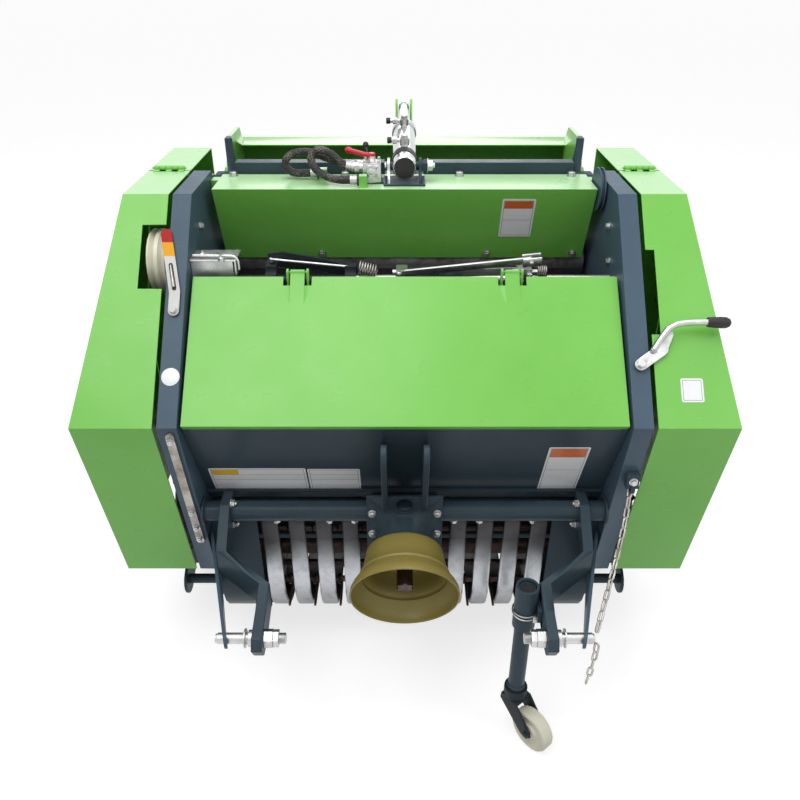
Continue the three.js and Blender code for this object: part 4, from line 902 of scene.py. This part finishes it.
def addChain():
    bm = bmesh.new()
    for points in (chainRoute, chainTail):
        route = smoothRoute(points, chain["pitch"])[0]
        for i, (a, b) in enumerate(zip(route, route[1:])):
            turn = math.radians(35 + 90 * (i % 2))
            addLink(bm, facing((a + b) / 2, b - a, turn))
    piece = finishMesh("checkChain", bm, chainSteel, "frame", 60)
    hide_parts("check_chain")


addChain()
print("chain hung")

# tailgate cylinder, its valve and levers

cylinder = {"pin": Vector((0, 0.100, 1.141)), "angle": math.atan2(54, 400), "radius": 0.0265, "tail": -0.015,
            "length": 0.235, "gland": 0.0149, "ports": ((0.060, 0.030), (0.190, 0.034))}
ram = Vector((0, math.cos(cylinder["angle"]), math.sin(cylinder["angle"])))
ramUp = Vector((0, -math.sin(cylinder["angle"]), math.cos(cylinder["angle"])))


def alongRam(along, up=0.0, x=0.0):
    return cylinder["pin"] + ram * along + ramUp * up + Vector((x, 0, 0))


def addCylinder():
    # barrel with a welded tail cap, a threaded gland and two port bosses
    radius = cylinder["radius"]
    front, back = cylinder["tail"], cylinder["length"] + cylinder["tail"]
    bm = bmesh.new()
    gland = cylinder["gland"]
    profile = [(front, 0.0), (front, radius - 0.0025), (front + 0.0025, radius), (back - 0.022, radius),
               (back - 0.022, radius + 0.0026), (back - 0.0205, radius + 0.003),
               (back + 0.0025, radius + 0.003), (back + 0.004, radius + 0.0016), (back + 0.004, gland),
               (back - 0.18, gland), (back - 0.18, 0.0)]
    addTurned(bm, profile, facing(alongRam(0), ram), 56)
    for along, reach in cylinder["ports"]:
        addTurned(bm, [(radius - 0.003, 0.0), (radius - 0.003, 0.0105), (radius + 0.004, 0.0105),
                       (radius + 0.0045, 0.009), (radius + 0.0125, 0.009), (radius + 0.014, 0.0075),
                       (radius + 0.014, 0.0)], facing(alongRam(along), ramUp), 24)
    piece = finishMesh("cylinderBarrel", bm, polished, "cylinder_barrel")
    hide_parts("cylinder_barrel")
    bm = bmesh.new()
    addTurned(bm, [(front - 0.0006, 0.0), (front - 0.0006, radius - 0.0035),
                   (front + 0.001, radius - 0.0022), (front + 0.001, 0.0)], facing(alongRam(0), ram), 48)
    # rubber sleeve round the base
    addTurned(bm, [(0.016, radius), (0.016, radius + 0.0011), (0.040, radius + 0.0011), (0.040, radius)],
              facing(alongRam(0), ram), 48)
    finishMesh("cylinderCap", bm, gripRubber, "cylinder_barrel")
    # banjo fittings on the ports, with short steel tails
    bm = bmesh.new()
    for along, reach in cylinder["ports"]:
        top = radius + 0.008
        addHexBolt(bm, facing(alongRam(along, radius + 0.0135), ramUp), 0.015, 0.006, 0.0088)
        addTurned(bm, [(-0.005, 0.0088), (-0.005, 0.0112), (0.005, 0.0112), (0.005, 0.0088)],
                  facing(alongRam(along, top), ramUp), 24)
        addRod(bm, alongRam(along, top, -0.010), alongRam(along, top, -reach), 0.0048, 14)
        addRod(bm, alongRam(along, top, -0.017), alongRam(along, top, -0.027), 0.0078, 6)
    finishMesh("portFittings", bm, zincPlate, "cylinder_barrel")
    bm = bmesh.new()
    for along, reach in cylinder["ports"]:
        addTurned(bm, [(0, 0.0), (0, 0.0068), (0.008, 0.0072), (0.010, 0.006), (0.010, 0.0)],
                  facing(alongRam(along, radius + 0.008, -reach + 0.001), (-1, 0, 0)), 20)
    finishMesh("portPlugs", bm, gripRubber, "cylinder_barrel")
    # nut and washer on the base pin
    boltSet("basePinNut", "frame", [((0.0505, 0.100, 1.141), (1, 0, 0))], across=0.021, head=0.010,
            washer=0.0155, tip=0.005)


addCylinder()


def addValve():
    base = hose["floor"]
    bm = bmesh.new()
    # hex adaptors at the hose mouths and a plug on each side of the block
    for y in (0.092, 0.112):
        addRod(bm, (-0.1105, y, base + 0.034), (-0.1005, y, base + 0.034), 0.0112, 6)
        addRod(bm, (-0.1005, y, base + 0.034), (-0.092, y, base + 0.034), 0.0098, 20)
    for y, out in ((0.0735, -1), (0.1305, 1)):
        addHexBolt(bm, facing((-0.072, y, base + 0.030), (0, out, 0)), 0.014, 0.006, 0.0105)
    for x in (-0.087, -0.057):
        for y in (0.087, 0.117):
            addHexBolt(bm, facing((x, y, base + 0.0442), (0, 0, 1)), 0.006, 0.004, 0.0042)
    finishMesh("valveFittings", bm, zincPlate, "frame")
    # red cranked handle on the valve's spindle
    spindle = Vector((-0.072, 0.102, base + 0.0555))
    bends = ((0, 0, 0), (-0.012, -0.004, 0.004), (-0.030, 0.004, 0.006), (-0.052, 0.020, 0.008))
    route = smoothRoute([spindle + Vector(bend) for bend in bends], 0.004)[0]
    bm = bmesh.new()
    addTube(bm, route, 0.0052, 14)
    addTurned(bm, [(-0.001, 0.0), (-0.001, 0.0075), (0.006, 0.0075), (0.0072, 0.006), (0.0072, 0.0)],
              facing(spindle, (0, 0, 1)), 24)
    addTurned(bm, [(-0.010, 0.0), (-0.008, 0.005), (-0.002, 0.0072), (0.004, 0.0068), (0.008, 0.004),
                   (0.009, 0.0)], facing(route[-1], route[-1] - route[-3]), 20)
    finishMesh("valveHandle", bm, redPlastic, "frame")
    # small lever with a ball at the back of the block
    bm = bmesh.new()
    foot = Vector((-0.080, 0.124, base + 0.036))
    addRod(bm, foot, foot + Vector((-0.006, 0.022, 0.030)), 0.0026, 12)
    addTurned(bm, [(-0.007, 0.0), (-0.005, 0.0048), (0, 0.007), (0.005, 0.0048), (0.007, 0.0)],
              facing(foot + Vector((-0.007, 0.025, 0.034)), (0, 0, 1)), 18)
    finishMesh("valveBallLever", bm, gripRubber, "frame")
    # rubber grommets where the hoses meet the hood
    bm = bmesh.new()
    for x, y in glands:
        addTurned(bm, [(-0.0003, 0.0095), (-0.0003, 0.0128), (-0.003, 0.0128), (-0.0042, 0.0112),
                       (-0.0042, 0.0095)], facing((x, y, base + 0.014), (1, 0, 0)), 28)
    finishMesh("hoseGrommets", bm, gripRubber, "frame")


addValve()
print("hydraulics fitted")

# latch lever on the right cover

latch = {"eye": (0.4608, 0.126), "grip": ((0.588, 0.2052, 0.031), (0.634, 0.204, 0.030))}


def addLatch():
    a, b = (onSlope(*spot) for spot in latch["grip"])
    length = (b - a).length
    profile = [(0.0, 0.0066), (0.0, 0.0088), (0.002, 0.0098), (0.010, 0.0104), (0.026, 0.0114),
               (length - 0.010, 0.0112), (length - 0.003, 0.0080), (length, 0.0034), (length, 0.0)]
    bm = bmesh.new()
    addTurned(bm, profile, facing(a, b - a), 32)
    finishMesh("latchGrip", bm, gripRubber, "right_cover")
    x, along = latch["eye"]
    boltSet("latchBolt", "right_cover", [(onSlope(x, along, 0.0090), offSlope)], across=0.015, head=0.007,
            washer=0.0112)


addLatch()
dress("twine_arm", [zincPlate, shadowEnamel], "zinc", 0.0008, lambda c: 1 if c.x < -0.09 else 0)

# linkage in the gap above the lid


def addSpring(bm, start, end, radius, wire, turns):
    start, end = Vector(start), Vector(end)
    place = facing(start, end - start)
    length = (end - start).length
    count = turns * 12
    points = [place @ Vector((radius * math.cos(math.tau * i / 12), radius * math.sin(math.tau * i / 12),
                              length * i / count)) for i in range(count + 1)]
    addTube(bm, points, wire, 7)


def addLinkage():
    bm = bmesh.new()
    addSpring(bm, (-0.098, -0.0752, 0.972), (-0.060, -0.079, 0.962), 0.0125, 0.0018, 7)
    addSpring(bm, (0.282, -0.083, 0.965), (0.302, -0.083, 0.965), 0.011, 0.0016, 5)
    finishMesh("tensionSprings", bm, wornSteel, "frame")
    # bolts and locknuts on the clamps
    spots = [((0.262, -0.1035, 0.965), (0, -1, 0)), ((0.245, -0.1035, 0.951), (0, -1, 0)),
             ((-0.006, -0.0995, 0.950), (0, -1, 0)), ((-0.012, -0.0995, 0.966), (0, -1, 0)),
             ((-0.286, -0.0515, 0.980), (0, -1, 0)), ((-0.116, -0.0515, 0.962), (0, -1, 0)),
             ((-0.375, -0.1323, 1.0065), (0, 0, 1)), ((-0.418, -0.110, 1.0082), (0, 0, 1))]
    boltSet("linkageBolts", "frame", spots, across=0.011, head=0.006, washer=0.0075, tip=0.005)
    # thin rod bracket over the tensioner and a tie rod to the arm
    bm = bmesh.new()
    bends = [(-0.436, -0.118, 1.013), (-0.380, -0.120, 1.013), (-0.350, -0.122, 1.012),
             (-0.343, -0.124, 1.004), (-0.342, -0.125, 0.985)]
    addTube(bm, smoothRoute(bends, 0.006)[0], 0.0028, 10)
    addRod(bm, (-0.285, -0.066, 0.985), (-0.110, -0.068, 0.968), 0.0030, 12)
    finishMesh("tensionerRod", bm, zincPlate, "frame")
    # flat bar of the twine arm, rising to a clevis
    bm = bmesh.new()
    low, high = Vector((0.000, -0.112, 0.972)), Vector((0.262, -0.106, 0.998))
    along = (high - low).normalized()
    upright = along.cross(Vector((0, 1, 0.35)))
    place = plane(low, along, upright)
    addBlock(bm, (0, -0.008, -0.0025), ((high - low).length, 0.008, 0.0025), 0.0008, place)
    for side in (-0.007, 0.007):
        addBlock(bm, (-0.018, -0.011, side - 0.002), (0.022, 0.011, side + 0.002), 0.0015,
                 plane(high, along, upright))
    across = along.cross(upright).normalized() * 0.013
    addRod(bm, high - across, high + across, 0.0050, 16, bevel=0.0008)
    finishMesh("twineBar", bm, zincPlate, "frame")


addLinkage()

# bolts that hold the sheets and brackets

hoodUp = Vector((0, -0.181, -0.069)).normalized()


def addFrameBolts():
    top = 1.1051
    spots = [((x, 0.150, top), (0, 0, 1)) for x in (-0.392, -0.136, 0.126, 0.383)]
    boltSet("hoodTopBolts", "frame", spots, across=0.015, head=0.0075, washer=0.0105)
    spots = []
    for x in (-0.395, -0.193, 0.193, 0.395):
        foot = Vector((x, 0.109, 0.924)) + hoodFront["up"] * 0.014
        spots.append((foot + hoodUp * 0.0003, hoodUp))
    boltSet("hoodFaceBolts", "frame", spots, across=0.012, head=0.006, washer=0.009)
    spots = []
    for sign in (-1, 1):
        for y, z in ((-0.012, 1.040), (-0.050, 0.975), (0.150, 1.060), (-0.168, 0.90), (-0.20, 0.60),
                     (-0.175, 0.80)):
            spots.append(((sign * 0.4408, y, z), (-sign, 0, 0)))
    boltSet("wallBolts", "frame", spots, across=0.012, head=0.0055, washer=0.0088)
    spots = [((sign * 0.070, -0.3328, z), (0, -1, 0)) for sign in (-1, 1) for z in (0.511, 0.455)]
    boltSet("headstockBolts", "frame", spots, across=0.013, head=0.006, washer=0.009, tip=0.003)
    # clamp bolts at the roots of the lower arms, and locknuts under the cross tube
    spots = []
    for sign in (-1, 1):
        for z in (0.5215, 0.4655):
            spots.append(((sign * 0.3768, -0.3130, z), (-sign, 0, 0)))
        for x in (0.283, 0.166, 0.110):
            spots.append(((sign * x, -0.305, 0.4724), (0, 0, -1)))
    boltSet("armBolts", "frame", spots, across=0.014, head=0.007, washer=0.010, tip=0.004)


addFrameBolts()

wallLine = {"ridge": Vector((0, -0.383, 0.761)), "toe": Vector((0, -0.281, 0.300))}
downPost = (wallLine["toe"] - wallLine["ridge"]).normalized()
offPost = Vector((0, downPost.z, -downPost.y)).normalized()


def onPost(x, along, lift=0.0):
    return wallLine["ridge"] + Vector((x, 0, 0)) + downPost * along + offPost * lift


def addPostStrip():
    # rubbing strip down the left post
    strip = {"x": -0.4575, "half": 0.0085, "from": 0.012, "to": 0.362}
    bm = bmesh.new()
    place = plane(wallLine["ridge"], (1, 0, 0), -downPost)
    left, right = strip["x"] - strip["half"], strip["x"] + strip["half"]
    addLabel(bm, place, (left, -strip["to"]), (right, -strip["from"]), 0.0003, 0.005, 0.008)
    finishMesh("postStrip", bm, wornSteel, "frame")
    spots = [(onPost(strip["x"], along, 0.0054), offPost) for along in (0.030, 0.252, 0.305, 0.345)]
    boltSet("postStripBolts", "frame", spots, across=0.011, head=0.005, washer=0.0078, tip=0.003)


addPostStrip()

# lower pins, jack and chain anchor

pins = {"y": -0.561, "z": 0.381}
jack = {"x": 0.250, "y": -0.480, "top": 0.4351, "collar": 0.144, "ring": 0.0262}


def addHitchFittings():
    y, z = pins["y"], pins["z"]
    bm = bmesh.new()
    for sign in (-1, 1):
        # locknut and threaded end inside the arm
        addRod(bm, (sign * 0.2495, y, z), (sign * 0.2606, y, z), 0.0178, 6, bevel=0.0012)
        addRod(bm, (sign * 0.2360, y, z), (sign * 0.2520, y, z), 0.0101, 24)
        for i in range(7):
            at = 0.2480 - i * 0.0018
            addTurned(bm, [(-0.001, 0.0100), (0.0, 0.0112), (0.001, 0.0100)],
                      facing((sign * at, y, z), (1, 0, 0)), 24)
        addTurned(bm, [(-0.0012, 0.0112), (-0.0012, 0.0190), (0.0012, 0.0190), (0.0012, 0.0112)],
                  facing((sign * 0.3168, y, z), (1, 0, 0)), 32)
    finishMesh("lowerPinNuts", bm, zincPlate, "frame")
    # double spring ring round the jack sleeve, with its little latch
    bm = bmesh.new()
    for height, tilt in ((0.372, 0.06), (0.378, -0.05)):
        points = []
        for i in range(33):
            angle = math.tau * i / 36 + 1.2
            points.append((jack["x"] + jack["ring"] * math.cos(angle),
                           jack["y"] + jack["ring"] * math.sin(angle),
                           height + tilt * 0.03 * math.sin(angle)))
        addTube(bm, points, 0.0013, 8)
    addBlock(bm, (0.262, -0.5105, 0.368), (0.272, -0.501, 0.382), 0.0012)
    finishMesh("jackRing", bm, zincPlate, "frame")
    # dark bore and wear ring at the top of the leg
    bm = bmesh.new()
    addTurned(bm, [(0.0, 0.0), (0.0, 0.0150), (0.0003, 0.0150), (0.0003, 0.0)],
              facing((jack["x"], jack["y"], jack["top"]), (0, 0, 1)), 32)
    finishMesh("jackBore", bm, gripRubber, "jack_leg")
    bm = bmesh.new()
    addTurned(bm, [(0.0, 0.0150), (0.0, 0.0178), (0.0012, 0.0172), (0.0012, 0.0156)],
              facing((jack["x"], jack["y"], jack["top"]), (0, 0, 1)), 40)
    addTurned(bm, [(-0.004, 0.0178), (-0.003, 0.0205), (0.004, 0.0205), (0.005, 0.0178)],
              facing((jack["x"], jack["y"], jack["collar"]), (0, 0, 1)), 40)
    finishMesh("jackLegRings", bm, slateEnamel, "jack_leg")
    # chain anchor on the right post
    bm = bmesh.new()
    addBlock(bm, (0.452, -0.370, 0.604), (0.4785, -0.352, 0.640), 0.002)
    addTurned(bm, [(-0.004, 0.006), (-0.004, 0.012), (0.004, 0.012), (0.004, 0.006)],
              facing((0.466, -0.364, 0.603), (1, 0, 0)), 24)
    finishMesh("chainAnchor", bm, slateEnamel, "frame")
    boltSet("chainAnchorBolt", "frame", [((0.465, -0.3703, 0.624), (0, -1, 0))], across=0.012, head=0.006,
            washer=0.009)


addHitchFittings()
print("hitch fitted")

# tailgate and side covers: bolts, stiffeners, reflectors, louvres and handles

louvre = {"count": 6, "low": 0.50, "pitch": 0.032, "y": -0.10, "half": 0.075, "rise": 0.020, "proud": 0.006}
reflector = {"x": 0.36, "z": 0.655, "cup": 0.5962, "lens": 0.6003}
coverFace = {"sheet": 0.6500, "bolt": 0.6502}


def addTailgateFittings():
    spots = []
    for sign in (-1, 1):
        for z in (0.50, 0.66, 0.82):
            spots.append(((sign * 0.428, 0.5963, z), (0, 1, 0)))
    boltSet("tailgateBolts", "tailgate", spots, across=0.012, head=0.0045, washer=0.009)
    # folded stiffener across the rear skin
    bm = bmesh.new()
    for z in (0.56, 0.75):
        addBlock(bm, (-0.395, 0.5960, z - 0.020), (0.395, 0.6020, z + 0.020), 0.0028)
    finishMesh("tailgateStiffeners", bm, greenEnamel, "tailgate")
    # round reflectors in black cups
    bm = bmesh.new()
    for sign in (-1, 1):
        place = facing((sign * reflector["x"], reflector["cup"], reflector["z"]), (0, 1, 0))
        addTurned(bm, [(0.0, 0.0), (0.0, 0.032), (0.004, 0.032), (0.0055, 0.0300), (0.0055, 0.0265),
                       (0.004, 0.0262), (0.004, 0.0)], place, 48)
    finishMesh("reflectorCups", bm, gripRubber, "tailgate")
    bm = bmesh.new()
    for sign in (-1, 1):
        place = facing((sign * reflector["x"], reflector["lens"], reflector["z"]), (0, 1, 0))
        addTurned(bm, [(0.0, 0.0), (0.0, 0.0258), (0.0022, 0.0250), (0.0032, 0.0225), (0.0032, 0.0)],
                  place, 48)
    finishMesh("reflectors", bm, redPlastic, "tailgate")


def addCoverFittings(side, sign):
    for name, body, places in (("Rear", "frame", ((0.170, 0.42), (0.350, 0.42), (0.350, 0.70))),
                               ("Front", f"{side}_cover", ((-0.245, 0.34), (0.120, 0.34)))):
        spots = [((sign * coverFace["bolt"], y, z), (sign, 0, 0)) for y, z in places]
        boltSet(f"{side}{name}CoverBolts", body, spots, across=0.011, head=0.0045, washer=0.0085)
    # pressed louvres over the chain drive, open at their lower edges
    bm = bmesh.new()
    for i in range(louvre["count"]):
        low = louvre["low"] + i * louvre["pitch"]
        place = Matrix.Translation((sign * coverFace["sheet"], louvre["y"], low))
        wedge = [(0, 0), (sign * louvre["proud"], 0.002), (sign * louvre["proud"], 0.005),
                 (sign * 0.0012, louvre["rise"]), (0, louvre["rise"])]
        outline = [bm.verts.new(place @ Vector((x, -louvre["half"], z))) for x, z in wedge]
        end = bm.faces.new(outline)
        moved = vertsIn(bmesh.ops.extrude_face_region(bm, geom=[end], use_keep_orig=True)["geom"])
        bmesh.ops.translate(bm, verts=moved, vec=(0, 2 * louvre["half"], 0))
        for vert in set(outline) | set(moved):
            # the ends of each louvre fall away to the sheet
            if abs(vert.co.x) > 0.6505:
                vert.co.y += 0.008 if vert.co.y < louvre["y"] else -0.008
    bmesh.ops.recalc_face_normals(bm, faces=bm.faces)
    finishMesh(f"{side}Louvres", bm, greenEnamel, f"{side}_cover")
    # strap handle low on the cover's outer face
    bm = bmesh.new()
    bends = ((0.6500, -0.105), (0.6600, -0.105), (0.6680, -0.098), (0.6690, -0.055), (0.6680, -0.012),
             (0.6600, -0.005), (0.6500, -0.005))
    addTube(bm, smoothRoute([(sign * x, y, 0.40) for x, y in bends], 0.006)[0], 0.0042, 12)
    finishMesh(f"{side}CoverHandle", bm, gripRubber, f"{side}_cover")


addTailgateFittings()
for side, sign in wheelSides.items():
    addCoverFittings(side, sign)
print("covers fitted")

# floor, background and lamps

studio = {"floor": 30.0, "ambient": 0.50,
          "lamps": [("key", (-1.2, -1.7, 4.6), 2.8, 76), ("fill", (2.6, -2.0, 3.2), 2.6, 20),
                    ("top", (0.3, 0.5, 4.6), 3.4, 54), ("back", (0.0, 4.2, 2.4), 2.4, 26)]}


def seenDirectly(tree):
    # 1 for what the camera sees, straight or through a reflection
    path = node(tree, "LightPath")
    seen = times(tree, path.outputs["Is Camera Ray"], path.outputs["Is Transmission Ray"], "MAXIMUM")
    return times(tree, seen, path.outputs["Is Glossy Ray"], "MAXIMUM")


def addStudio():
    world = bpy.data.worlds.new("studio")
    world.use_nodes = True
    scene.world = world
    tree = world.node_tree
    strength = spread(tree, seenDirectly(tree), 0, 1, studio["ambient"], 1.0)
    background = tree.nodes["Background"]
    background.inputs["Color"].default_value = (1, 1, 1, 1)
    tree.links.new(strength, background.inputs["Strength"])

    material, tree, shader = startMaterial("paleFloor", **{"Roughness": 0.9, "Specular IOR Level": 0.1})
    grain = spread(tree, noise(tree, objectSpace(tree), 8, 3), 0.3, 0.7, 0.46, 0.5)
    tone = node(tree, "CombineColor", {0: grain, 1: grain, 2: grain}).outputs[0]
    tree.links.new(tone, shader.inputs["Base Color"])
    # seen straight on, the floor is lifted to white and keeps the machine's shadow
    glow = times(tree, seenDirectly(tree), 0.70)
    shader.inputs["Emission Color"].default_value = (1, 1, 1, 1)
    tree.links.new(glow, shader.inputs["Emission Strength"])
    bm = bmesh.new()
    bmesh.ops.create_grid(bm, x_segments=1, y_segments=1, size=studio["floor"])
    mesh = bpy.data.meshes.new("floor")
    bm.to_mesh(mesh)
    bm.free()
    mesh.materials.append(material)
    floor = bpy.data.objects.new("floor", mesh)
    scene.collection.objects.link(floor)
    for name, place, size, power in studio["lamps"]:
        data = bpy.data.lights.new(name, "AREA")
        data.shape = "DISK"
        data.size = size
        data.energy = power
        lamp = bpy.data.objects.new(name, data)
        lamp.location = place
        lamp.rotation_euler = (Vector((0, 0, 0.6)) - Vector(place)).to_track_quat("-Z", "Y").to_euler()
        scene.collection.objects.link(lamp)


addStudio()
print("scene ready")
